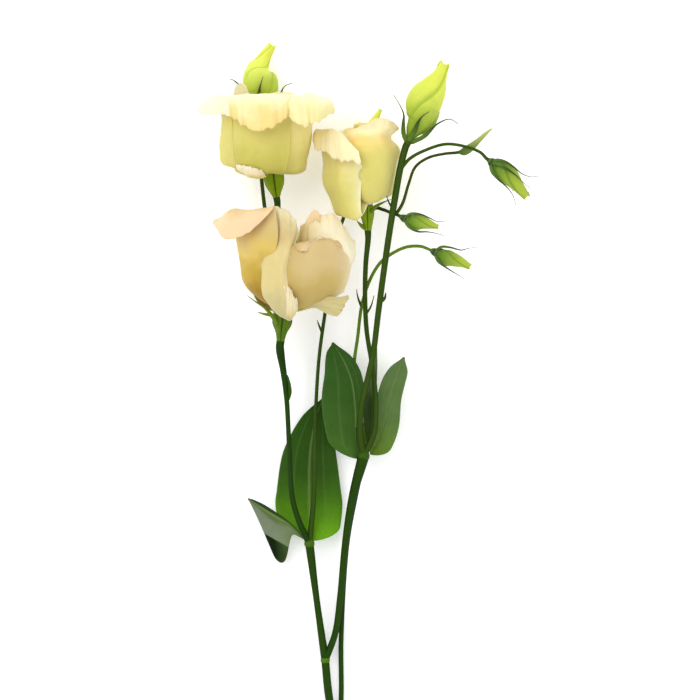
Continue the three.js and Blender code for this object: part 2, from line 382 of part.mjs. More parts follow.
// Stems: places on the way, a radius for the start, the end and even steps between, and what the end carries
const STEMS = [
  { sides: STEM_SIDES, steps: 4, radii: [2.2, 2.1, 2.2, 2.2],
    route: [CUT_END, LOWEST_JOINT, [-21.4, -160, 3.8], FORK] },
  { sides: STEM_SIDES, steps: 3, radii: [2.2, 1.8, 2.4],
    route: [FORK, [-28.4, -105, 8.5], LEFT_NODE] },
  { sides: STEM_SIDES, steps: 6, radii: [2, 1.8, 1.8, 1.9, 2.2, 3.2],
    route: [FORK, [-18.2, -124.5, 7.4], [-15.4, -105, 9.6], [-12.6, -75, 13], [-8.8, -50, 16], RIGHT_NODE] },
  { sides: TWIG_SIDES, steps: 6, radii: [1.6, 1.4, 1.4, 1.4, 1.4, 1.8],
    route: [LOWEST_JOINT, [-14.8, -160, 1.9], [-14.8, -127, 3.3], [-11.6, -75, 8.8], [-7.2, -50, 11.8],
      RIGHT_NODE] },
  { sides: TWIG_SIDES, steps: 9, radii: [1.9, 1.6, 1.5, 1.3, 1.4, 1.8, 2.2, 2.3], carries: "bloom_front",
    route: [LEFT_NODE, [-38, -62, 15.4], [-41.8, -48.5, 17], [-43.6, -17.5, 18], [-44.8, 5, 18.4],
      TWIN_JOINT] },
  { sides: TWIG_SIDES, steps: 7, radii: [1.7, 1.6, 1.6, 1.7, 2], carries: "bloom_left",
    route: [TWIN_JOINT, [-48.6, 42, 13.2], BACK_BUD_JOINT, [-50.3, 84, 12], [-51, 99, 16.2]] },
  { sides: HAIR_SIDES, steps: 6, radii: [1.3, 1.1, 1.1, 1.1, 1.2], carries: "bud_back_left",
    route: [BACK_BUD_JOINT, [-53.5, 90, 8.6], [-56.6, 108, 6.2], [-58.8, 127, 4.4], [-60.4, 150, 5]] },
  { sides: HAIR_SIDES, steps: 9, radii: [1.6, 1.2, 1, 1, 1, 1, 1.1], carries: "bud_hidden",
    route: [LEFT_NODE, [-30, -50, 13], [-29.3, -20, 12.6], [-28.6, 4, 12], [-27, 28, 11], [-24.4, 48, 9.6],
      [-20, 76, 7.4], [-15.9, 98, 6.2], [-9, 116, 4.6]] },
  { sides: HAIR_SIDES, steps: 10, radii: [1.5, 1.1, 0.95, 0.95, 0.9, 0.8], carries: "bud_small_lower",
    route: [RIGHT_NODE, [-1.8, -20, 14], [-3.4, -10, 12.4], [-6.4, 5, 12], [-7.6, 24, 12.4],
      [-5.6, 40, 13.8], [-3.4, 57, 15.4], [0.6, 70, 17], [6.6, 80.3, 19.4],
      [14, 86, 21.6], [21.5, 89.2, 23.4], [29, 89.5, 24.6]] },
  { sides: TWIG_SIDES, steps: 8, radii: [1.9, 1.5, 1.3, 1.3, 1.4, 1.9], carries: "bloom_middle",
    route: [RIGHT_NODE, [3.1, -14, 19.6], [4.4, 0, 20], [3.8, 12, 20.4], [2, 26, 20.8], [-0.6, 42, 21.4],
      [-1.6, 60, 22.2], [-1.2, 80, 23.4]] },
  { sides: STEM_SIDES, steps: 10, radii: [2, 1.6, 1.6, 1.7, 1.8, 1.9, 2], carries: "bud_tall",
    route: [RIGHT_NODE, [-4.4, -14, 22], [-3.8, 0, 24.4], [-1.6, 11, 26.2], [2.6, 29, 28.6], [5.8, 54, 31.6],
      [9, 78, 34.6], [12.2, 100, 37.4], [15, 117, 39.4], [17.6, 132, 40.2]] },
  { sides: HAIR_SIDES, steps: 6, radii: [1, 0.9, 0.85, 0.9, 1.1], carries: "bud_droop",
    route: [[17.4, 131, 40.2], [23, 137.5, 41.5], [32, 142.3, 42.6], [43, 145.4, 43.2], [55, 143.6, 43],
      [62, 140.6, 42.4]] },
  { sides: HAIR_SIDES, steps: 7, radii: [1, 0.85, 0.8, 0.8, 0.9], carries: "bud_young",
    route: [TWIG_JOINT, [19, 113, 36.6], [22.4, 124, 36], [26, 133, 36.2], [33, 138, 36.8],
      [42, 140.2, 37.6]] },
  { sides: HAIR_SIDES, steps: 7, radii: [0.9, 0.85, 1, 0.85, 1], carries: "bud_small_upper",
    route: [[0.2, 91, 23.6], [0.4, 97, 19], [0.8, 104.6, 18.4], [3.6, 110.4, 21], [8.6, 109.6, 27],
      [13.6, 107.4, 33.4]] },
];

// Small bracts and pointed scales on the stems
const BRACTS = [
  { route: [[-44.6, 18.6, 19], [-43.4, 14, 19.4], [-43, 9, 19.2], [-43.6, 5, 18.6]],
    radii: [0.5, 0.8, 1, 0.5] },
  { route: [[-25.2, 42, 10.4], [-27, 46, 11.2], [-28, 49, 11.8]], radii: [0.8, 0.5, 0.35] },
  { route: [[-3.4, 56, 15.4], [-5.4, 61, 16.4], [-6.4, 66, 17]], radii: [0.8, 0.5, 0.35] },
  { route: [[-1.4, 52, 21.8], [1.4, 56, 22.4], [3.4, 62.5, 23]], radii: [0.8, 0.5, 0.35] },
  { route: [[7.2, 59, 32.4], [9.2, 61, 32.8], [9.8, 64, 33.2]], radii: [1, 0.8, 0.4] },
  { route: [[12.8, 111, 38.4], [11.2, 114, 38.8], [10.2, 117, 39]], radii: [0.6, 0.45, 0.35] },
  { route: [[-16, 96, 6.3], [-14.6, 98.6, 6.5], [-15.2, 101.6, 6.4]], radii: [1.2, 1.7, 1] },
];

const YOUNG_BUD = {
  route: [[49.8, 141, 38.2], [52.6, 141.4, 38.3], [56.2, 143.6, 38.5], [60.6, 147.4, 38.8], [64.4, 151, 39],
    [67.9, 154, 39]],
  radii: [0.9, 2.1, 2.1, 1.4, 1, 0.45],
};

// General helpers

function point(x, y, z) {
  return new THREE.Vector3(x, y, z);
}

function spline(rows) {
  return new THREE.CatmullRomCurve3(rows.map(([x, y, z]) => point(x, y, z)), false, "centripetal");
}

// Values listed at even steps along a piece, read between them in a smooth way
function along(values, u) {
  const place = THREE.MathUtils.clamp(u, 0, 1) * (values.length - 1);
  const i = Math.min(Math.floor(place), values.length - 2);
  const f = place - i;
  const before = values[Math.max(i - 1, 0)];
  const after = values[Math.min(i + 2, values.length - 1)];
  const slopeIn = (values[i + 1] - before) / 2;
  const slopeOut = (after - values[i]) / 2;
  const f2 = f * f;
  const f3 = f2 * f;
  return (2 * f3 - 3 * f2 + 1) * values[i] + (f3 - 2 * f2 + f) * slopeIn
    + (3 * f2 - 2 * f3) * values[i + 1] + (f3 - f2) * slopeOut;
}

function toSolid(geometry) {
  const bare = new THREE.BufferGeometry();
  bare.setAttribute("position", geometry.getAttribute("position"));
  bare.setIndex(geometry.getIndex());
  const merged = mergeVertices(bare, 1e-4);
  return new wasm.Manifold(new wasm.Mesh({
    numProp: 3,
    vertProperties: merged.getAttribute("position").array,
    triVerts: new Uint32Array(merged.getIndex().array),
  }));
}

function solidFrom(vertices, triangles) {
  const geometry = new THREE.BufferGeometry();
  geometry.setAttribute("position", new THREE.BufferAttribute(
    new Float32Array(vertices.flatMap((v) => [v.x, v.y, v.z])), 3));
  geometry.setIndex(triangles.flat());
  return toSolid(geometry);
}

// Joins solids and keeps the main body: scraps go, and a sealed hollow is filled
function fuse(solids) {
  const joined = solids.reduce((sum, solid) => sum.add(solid));
  return joined.decompose().reduce((a, b) => (b.volume() > a.volume() ? b : a));
}

function makeNode(name, solid, colour, roughness) {
  const mesh = solid.getMesh();
  const geometry = new THREE.BufferGeometry();
  geometry.setAttribute("position", new THREE.BufferAttribute(new Float32Array(mesh.vertProperties), 3));
  geometry.setIndex(new THREE.BufferAttribute(new Uint32Array(mesh.triVerts), 1));
  geometry.computeVertexNormals();
  const material = new THREE.MeshStandardMaterial({ color: colour, roughness, metalness: 0 });
  const node = new THREE.Mesh(geometry, material);
  node.name = name;
  return node;
}

// Closed solid through rings of points, each ring wound anticlockwise seen from the last ring
function loft(rings) {
  const sides = rings[0].length;
  const triangles = [];
  for (let i = 0; i + 1 < rings.length; i++) {
    for (let j = 0; j < sides; j++) {
      const a = i * sides + j;
      const b = i * sides + ((j + 1) % sides);
      triangles.push([a, b, b + sides], [a, b + sides, a + sides]);
    }
  }
  const last = (rings.length - 1) * sides;
  for (let j = 1; j + 1 < sides; j++) {
    triangles.push([0, j + 1, j], [last, last + j, last + j + 1]);
  }
  return solidFrom(rings.flat(), triangles);
}

// Ring of points round a place on a route, in the plane across the route
function ringAt(centre, tangent, sides, radiusAt) {
  const aside = point(0, 0, 1);
  const across = aside.addScaledVector(tangent, -aside.dot(tangent)).normalize();
  const up = new THREE.Vector3().crossVectors(tangent, across);
  return Array.from({ length: sides }, (_, j) => {
    const angle = (2 * Math.PI * j) / sides;
    const radius = radiusAt(angle);
    return centre.clone()
      .addScaledVector(across, radius * Math.cos(angle))
      .addScaledVector(up, radius * Math.sin(angle));
  });
}

// Tapered rod through the given places
function rod(route, radii, sides, steps) {
  const curve = spline(route);
  const rings = [];
  for (let i = 0; i <= steps; i++) {
    const u = i / steps;
    const radius = along(radii, u);
    rings.push(ringAt(curve.getPoint(u), curve.getTangent(u), sides, () => radius));
  }
  return loft(rings);
}

// Thin blade over a grid of points, with both faces split into triangles alike
function blade(grid, thickness) {
  const rows = grid.length;
  const columns = grid[0].length;
  const normals = grid.map((line, i) => line.map((_, j) => {
    const alongRow = grid[Math.min(i + 1, rows - 1)][j].clone().sub(grid[Math.max(i - 1, 0)][j]);
    const acrossRow = grid[i][Math.min(j + 1, columns - 1)].clone().sub(grid[i][Math.max(j - 1, 0)]);
    return acrossRow.cross(alongRow).normalize();
  }));
  const vertices = [0.5, -0.5].flatMap((half) => grid.flatMap((line, i) =>
    line.map((p, j) => p.clone().addScaledVector(normals[i][j], half * thickness))));
  const count = rows * columns;
  const id = (i, j) => i * columns + j;
  const triangles = [];
  const border = [];
  for (let i = 0; i + 1 < rows; i++) {
    for (let j = 0; j + 1 < columns; j++) {
      const [a, b, c, d] = [id(i, j), id(i, j + 1), id(i + 1, j + 1), id(i + 1, j)];
      triangles.push([a, b, c], [a, c, d]);
      triangles.push([count + a, count + c, count + b], [count + a, count + d, count + c]);
    }
    border.push([id(i, 0), id(i + 1, 0)], [id(i + 1, columns - 1), id(i, columns - 1)]);
  }
  for (let j = 0; j + 1 < columns; j++) {
    border.push([id(0, j + 1), id(0, j)], [id(rows - 1, j), id(rows - 1, j + 1)]);
  }
  border.forEach(([a, b]) => triangles.push([a, b, count + b], [a, count + b, count + a]));
  return solidFrom(vertices, triangles);
}

function ball(centre, radius) {
  const geometry = new THREE.SphereGeometry(radius, 8, 6);
  geometry.translate(...centre);
  return toSolid(geometry);
}

// Slab below the surface that the stem lies on
function ground() {
  const geometry = new THREE.BoxGeometry(GROUND_SIDE, GROUND_SIDE, GROUND_DEPTH);
  geometry.translate(0, 0, -GROUND_DEPTH / 2);
  return toSolid(geometry);
}

// Blooms

// Gives places round a bloom's axis from radius, azimuth and height
function bloomFrame({ base, axis }) {
  const origin = point(...base);
  const up = point(...axis).normalize();
  const front = point(0, 0, 1).addScaledVector(up, -up.z).normalize();
  const right = new THREE.Vector3().crossVectors(up, front);
  return (radius, azimuth, height) => origin.clone()
    .addScaledVector(up, height)
    .addScaledVector(front, radius * Math.cos(azimuth))
    .addScaledVector(right, radius * Math.sin(azimuth));
}

// Share of the way up a petal, less near its corners, so that its margin is round
function rounded(u, t) {
  return u * (1 - CORNER_ROUNDING * t ** 4 * u ** 5);
}

// Point on a petal behind: u runs from its root to its margin and t from its left edge to its right edge
function petalPoint(place, { az, radius, height, width }, u, t) {
  const step = 0.02;
  const reach = rounded(u, t);
  const slopeOut = along(radius, reach + step) - along(radius, reach - step);
  const slopeUp = along(height, reach + step) - along(height, reach - step);
  const size = Math.hypot(slopeOut, slopeUp);
  const r = Math.max(along(radius, reach) + (PETAL_SPIRAL * t * slopeUp) / size, 0.5);
  const h = along(height, reach) - (PETAL_SPIRAL * t * slopeOut) / size;
  const turn = (along(width, reach) * t) / Math.hypot(r, PETAL_CORE);
  return place(r, THREE.MathUtils.degToRad(az) + turn, h);
}

function petal(place, shape, rows, columns) {
  const grid = [];
  for (let i = 0; i <= rows; i++) {
    const line = [];
    for (let j = 0; j <= columns; j++) {
      line.push(petalPoint(place, shape, i / rows, (2 * j) / columns - 1));
    }
    grid.push(line);
  }
  return blade(grid, PETAL_THICKNESS);
}

// Petal in front, through the places of its net
function sheet(base, net) {
  const rows = net.length - 1;
  const columns = net[0].length - 1;
  const grid = net.map((row, i) => row.map((_, j) => {
    const reach = rounded(i / rows, (2 * j) / columns - 1);
    return point(...base).add(point(...[0, 1, 2].map((k) => along(net.map((line) => line[j][k]), reach))));
  }));
  return blade(grid, PETAL_THICKNESS);
}

// Solid turned round a bloom's axis through pairs of radius and height, from the bottom up
function turned(place, profile, sides) {
  return loft(profile.map(([radius, height]) => Array.from({ length: sides }, (_, j) =>
    place(radius, (2 * Math.PI * j) / sides, height))));
}

function corolla(bloom) {
  const place = bloomFrame(bloom);
  const front = bloom.sheets.map((net) => sheet(bloom.base, net));
  const behind = bloom.petals.map((shape) => petal(place, shape, PETAL_ROWS, PETAL_COLUMNS));
  const { count, start, ...shape } = bloom.inner;
  const inner = Array.from({ length: count }, (_, i) =>
    petal(place, { ...shape, az: start + (360 / count) * i }, INNER_ROWS, INNER_COLUMNS));
  const receptacle = turned(place,
    [[3.2, CLEARANCE - BLOOM_SEAT], [3.8, 0.2], [3.9, 3], [3.6, RECEPTACLE_TOP]], 8);
  return fuse([receptacle, ...front, ...behind, ...inner]);
}

// Rod through pairs of radius and height at one azimuth of a bloom
function ray(place, azimuth, spine, radii, sides, steps) {
  return rod(spine.map(([radius, height]) => place(radius, azimuth, height).toArray()), radii, sides, steps);
}

// Green cup below the petals, with five seams, slim sepals that reach out under the bloom and others that
// hug its sides
function bloomCalyx(bloom) {
  const place = bloomFrame(bloom);
  const top = -BLOOM_SEAT;
  const last = bloom.calyxRadii.length - 1;
  const cup = loft(bloom.calyxRadii.map((radius, i) => Array.from({ length: 10 }, (_, j) =>
    place(radius * (j % 2 ? 1 : CALYX_SEAM), (Math.PI * j) / 5, top - bloom.calyxDepth * (1 - i / last)))));
  const spine = [[3.5, top - 1.2], [8, top - 1.8], [13, top - 2.2], [17, top - 2]];
  const spread = bloom.sepals.map((degrees) =>
    ray(place, THREE.MathUtils.degToRad(degrees), spine, [1.2, 1.1, 0.7, 0.35], HAIR_SIDES, 3));
  const hugging = bloom.hugging.map((route) => rod(
    route.map(([x, y, z]) => [bloom.base[0] + x, bloom.base[1] + y, bloom.base[2] + z]),
    [1, 1.1, 0.8, 0.5, THINNEST_RADIUS], HAIR_SIDES, 4));
  return fuse([cup, ...spread, ...hugging]);
}

function stamens(bloom) {
  const place = bloomFrame(bloom);
  const foot = RECEPTACLE_TOP + CLEARANCE;
  const ring = turned(place, [[3, foot], [3.2, foot + 1.6]], 8);
  const bore = turned(place, [[2, foot - 1], [2, foot + 3]], 8);
  const spine = [[2.5, foot + 0.8], [4.6, foot + 6.5], [6.2, foot + 11.4], [6.6, foot + 13],
    [6.9, foot + 17]];
  const filaments = Array.from({ length: 5 }, (_, i) =>
    ray(place, (2 * Math.PI * (i + 0.5)) / 5, spine, [0.45, 0.4, 0.4, 1.1, 0.6], HAIR_SIDES, 3));
  return fuse([ring.subtract(bore), ...filaments]);
}

function pistil(bloom) {
  const place = bloomFrame(bloom);
  const foot = RECEPTACLE_TOP + CLEARANCE;
  const body = turned(place, [[1.2, foot], [1.5, foot + 2.4], [2.6, foot + 5], [2.4, foot + 9],
    [0.8, foot + 12], [0.7, foot + 17]], 7);
  const lobe = [[0, foot + 16], [1.4, foot + 18], [2.6, foot + 18.6]];
  const lobes = [0.5, 0.5 + Math.PI].map((azimuth) =>
    ray(place, azimuth, lobe, [0.8, 1.3, 0.7], HAIR_SIDES, 2));
  return fuse([body, ...lobes]);
}

// Buds

// Rolled petals of a bud, or the room that they need with some to spare
function budBody({ spine, radii, twist }, spare = 0) {
  const curve = spline(spine);
  const steps = spine.length - 1;
  const rings = [];
  for (let i = 0; i <= steps; i++) {
    const u = i / steps;
    const radius = along(radii, u) + spare;
    const turn = THREE.MathUtils.degToRad(along(twist, u));
    const fold = BUD_FOLD * Math.min(1, 5 * u);
    const tangent = curve.getTangent(u);
    const end = i === steps ? 1 : -(i === 0);
    rings.push(ringAt(curve.getPoint(u).addScaledVector(tangent, 0.9 * spare * end), tangent, BUD_SIDES,
      (angle) => radius * (1 - fold * Math.cos(3 * (angle - turn)))));
  }
  return loft(rings).subtract(ground());
}

// Knob under a bud with slim sepals that hug it
function budCalyx(bud) {
  const curve = spline(bud.spine);
  const start = curve.getPoint(0);
  const tangent = curve.getTangent(0);
  const knobRadius = bud.radii[0] + KNOB_RIM;
  const knob = loft([[-BUD_KNOB, 0.45], [-2, 0.8], [-CLEARANCE, 1]].map(([back, share]) => ringAt(
    start.clone().addScaledVector(tangent, back), tangent, TWIG_SIDES, () => share * knobRadius)));
  const broad = SEPAL_SHARE * Math.max(...bud.radii) + CLEARANCE;
  const radii = [0.75, 0.75, 0.6, 0.4, 0].map((share) => Math.max(share * broad, THINNEST_RADIUS));
  const sepals = bud.sepals.map((route) => rod(route, radii, HAIR_SIDES, route.length - 1));
  return fuse([fuse([knob, ...sepals]).subtract(ground()).subtract(budBody(bud, CLEARANCE))]);
}

// Stems

// Places that the end of a stem passes so that it meets what it carries head on
function seatOf(name) {
  const bloom = BLOOMS.find((one) => one.name === name);
  if (bloom) {
    const place = bloomFrame(bloom);
    const foot = -BLOOM_SEAT - bloom.calyxDepth - CLEARANCE;
    return [place(0, 0, foot - 5).toArray(), place(0, 0, foot).toArray()];
  }
  const bud = BUDS.find((one) => one.name === name);
  const curve = spline(bud ? bud.spine : YOUNG_BUD.route);
  const back = (bud ? BUD_KNOB : 0) + CLEARANCE;
  return [back + 2, back].map((distance) =>
    curve.getPoint(0).addScaledVector(curve.getTangent(0), -distance).toArray());
}

function stem() {
  const rods = STEMS.map(({ route, radii, sides, steps, carries }) =>
    rod(carries ? [...route, ...seatOf(carries)] : route, radii, sides, steps));
  const scales = BRACTS.map(({ route, radii }) => rod(route, radii, HAIR_SIDES, 2));
  const swellings = [ball(FORK, FORK_RADIUS), ball(LEFT_NODE, LEFT_NODE_RADIUS),
    ball(RIGHT_NODE, RIGHT_NODE_RADIUS)];
  return fuse([...rods, ...scales, ...swellings]).subtract(ground());
}

// Leaves

// Leaf blade with a round base, cupped and waved at its margin, cut clear of the stem that it springs from
function leaf({ midrib, leftWay, rightWay, left, right, rows, wave, cup }) {
  const curve = spline(midrib);
  const grid = [];
  for (let i = 0; i <= rows; i++) {
    const u = (i / rows) ** LEAF_CROWDING;
    const rounding = Math.sqrt(1 - (1 - Math.min(u / LEAF_BASE, 1)) ** 2);
    const line = [];
    for (let j = -LEAF_COLUMNS; j <= LEAF_COLUMNS; j++) {
      const t = j / LEAF_COLUMNS;
      const way = point(...(t < 0 ? leftWay : rightWay)).normalize();
      const reach = along(t < 0 ? left : right, u) * Math.abs(t) * Math.max(rounding, LEAF_ROOT);
      const ripple = wave * t * t * Math.sin(9 * u + (t < 0 ? 0.5 : 2.4));
      const rise = cup * t * t * Math.sin(Math.PI * Math.min(u * 1.6, 1)) + ripple;
      line.push(curve.getPoint(u).addScaledVector(way, reach).add(point(0, 0, rise)));
    }
    grid.push(line);
  }
  const collars = [ball(LEFT_NODE, LEFT_NODE_RADIUS + LEAF_GAP),
    ball(RIGHT_NODE, RIGHT_NODE_RADIUS + LEAF_GAP)];
  return fuse([collars.reduce((rest, collar) => rest.subtract(collar), blade(grid, LEAF_THICKNESS))]);
}

const lisianthus = new THREE.Group();
lisianthus.add(makeNode("stem", stem(), COLOURS.stem, 0.5));
for (const shape of LEAVES) lisianthus.add(makeNode(shape.name, leaf(shape), COLOURS.leaf, 0.55));
for (const bloom of BLOOMS) {
  lisianthus.add(makeNode(`${bloom.name}_petals`, corolla(bloom), bloom.colour, 0.7));
  lisianthus.add(makeNode(`${bloom.name}_calyx`, bloomCalyx(bloom), COLOURS.calyx, 0.55));
  lisianthus.add(makeNode(`${bloom.name}_stamens`, stamens(bloom), COLOURS.stamen, 0.7));
  lisianthus.add(makeNode(`${bloom.name}_pistil`, pistil(bloom), COLOURS.pistil, 0.6));
}
for (const bud of BUDS) {
  lisianthus.add(makeNode(`${bud.name}_petals`, budBody(bud), bud.colour, 0.6));
  lisianthus.add(makeNode(`${bud.name}_calyx`, budCalyx(bud), COLOURS.calyx, 0.55));
}
lisianthus.add(makeNode("bud_young", rod(YOUNG_BUD.route, YOUNG_BUD.radii, 7, 5), COLOURS.greenBud, 0.6));

export default lisianthus;
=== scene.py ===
"""A cut stem of double lisianthus in cream, lying on a pale table under soft studio light."""

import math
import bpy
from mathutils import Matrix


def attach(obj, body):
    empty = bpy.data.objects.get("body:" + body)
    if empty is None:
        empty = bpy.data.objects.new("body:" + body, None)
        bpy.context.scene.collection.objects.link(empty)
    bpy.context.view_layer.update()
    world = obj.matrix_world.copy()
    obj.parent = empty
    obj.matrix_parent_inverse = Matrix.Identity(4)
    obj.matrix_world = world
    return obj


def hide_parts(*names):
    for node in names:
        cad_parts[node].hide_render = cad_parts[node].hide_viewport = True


bl_info = {
    "name": "Lisianthus Flower",
    "version": (1, 0, 0),
    "blender": (4, 5, 0),
    "location": "View3D > Sidebar > Lisianthus",
    "description": "Builds a cut stem of double lisianthus with blooms, buds and leaves",
    "category": "Add Mesh",
}

import bpy
from mathutils import Vector, noise

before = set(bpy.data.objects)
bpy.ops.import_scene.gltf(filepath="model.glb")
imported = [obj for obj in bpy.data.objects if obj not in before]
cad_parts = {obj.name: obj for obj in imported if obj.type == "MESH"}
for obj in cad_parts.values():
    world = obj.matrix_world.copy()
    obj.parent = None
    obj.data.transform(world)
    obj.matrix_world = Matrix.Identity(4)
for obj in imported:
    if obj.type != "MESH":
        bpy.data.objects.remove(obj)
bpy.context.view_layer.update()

# Everything below is in millimetres until it becomes a mesh
MM = 0.001

# Picture that the camera holds: its width in pixels, the size of a pixel, and the pixel over the origin
FRAME_PIXELS = 700
MM_PER_PIXEL = 0.55
CENTRE_PIXEL = (368, 409)

# Least height above the table
FLOOR_GAP = 0.02

# Blooms: rows and columns of the petals in front, of those behind and of the inner whorl; how much nearer
# the axis one side of a petal lies than the other; the flat foot of a petal's curve round the axis; and
# where the noise of the petals behind and of the inner whorl starts
FRONT_CELLS = (60, 48)
BACK_CELLS = (44, 36)
INNER_CELLS = (32, 26)
BACK_SEED = 10
INNER_SEED = 20
PETAL_SPIRAL = 1.3
ROOT_CURVE = 6

# Where the parts of a bloom meet: depth of its foot, top of its receptacle, gap between pieces and how far
# a stem enters a calyx
BLOOM_SEAT = 3.2
RECEPTACLE_TOP = 3.9
CLEARANCE = 0.35
STEM_SUNK = 0.4

# Lobes of a petal's margin: depth, number and layer of noise
LOBES = ((0.035, 2.6, 0), (0.026, 7, 5), (0.014, 17, 9))

# How much shorter a petal is at the middle of its margin and at its corners, as shares of its length
RIM_CUT = 0.012
CORNER_CUT = 0.05

# Creases of a petal: height, number across, number along and layer of noise of its lengthwise folds, of the
# waves towards its margin and of the frills beside its margin
FOLDS = (0.8, 2.4, 0.9, 0)
WAVES = (2.2, 2.8, 1.5, 20)
FRILLS = ((1.5, 8, 3, 40), (0.8, 19, 6, 60))

# Uneven borders between a petal's tones: share and fineness of the noise; how much a side margin takes of
# its own
TONE_DRIFT = ((0.09, 0.08), (0.04, 0.3))
RIM_SHARE = 0.85

# Buds: rows and points round; height and share of the step between petals; reach and darkness of the
# painted shade in its furrows; how fast both grow from the foot
BUD_CELLS = (80, 120)
BUD_OVERLAP = 0.2
BUD_STEP = 0.07
FURROW_REACH = 0.12
FURROW_SHADE = 0.6
BUD_GROWTH = 5

# Calyx of a bud: depth of its knob with the share of its width at each depth, points round it, its ribs,
# and the width and thickness of its sepals
BUD_KNOB = 3.4
KNOB_SHAPE = ((-BUD_KNOB, 0.45), (-2.8, 0.62), (-2, 0.8), (-1, 0.95), (-CLEARANCE, 1))
KNOB_SIDES = 30
KNOB_RIBS = 0.06
SEPAL_SHARE = 0.11
SEPAL_WIDTHS = (1, 1, 0.7, 0.35, 0.16, 0.1)
SEPAL_THICKNESS = 0.5

# How far the broad sides of a bud's sepals turn up, and how much of its underside has sepals that don't
SEPAL_UPTURN = 0.8
SEPAL_UNDER = -0.3

# Calyx of a bloom: rows and points round it, the narrowness and depth of its five seams
CALYX_CELLS = (28, 70)
SEAM_NARROW = 9
SEAM_DEPTH = 0.08

# Leaves: rows and columns, how closely the rows stand at the foot, the share of the length over which the
# foot is round, the raised veins and keel, and the ripples with their starts on the left and right half
LEAF_CELLS = (60, 44)
LEAF_FOOT_ROWS = 1.5
LEAF_BASE = 0.12
VEIN_HEIGHT = 0.12
KEEL_DEPTH = 0.5
KEEL_NARROW = 9
RIPPLES = 9
RIPPLE_STARTS = (0.5, 2.4)

# Stage, in metres: half the table's side, the lights with their places and watts, their size, the place
# that they face, the height of the blooms that the camera holds at true scale, and the light from all round
TABLE_REACH = 3.0
LIGHTS = (("window", (-0.9, 0.9, 1.6), 17), ("fill", (1.1, -0.2, 1.5), 7))
LIGHT_SIZE = 1.8
LIGHT_AIM = (0, 0.05, 0)
TRUE_SCALE_HEIGHT = 0.03
ROOM_LIGHT = 0.75
FAR_CLIP = 20

# Width of the camera's sensor, in millimetres
SENSOR_WIDTH = 36

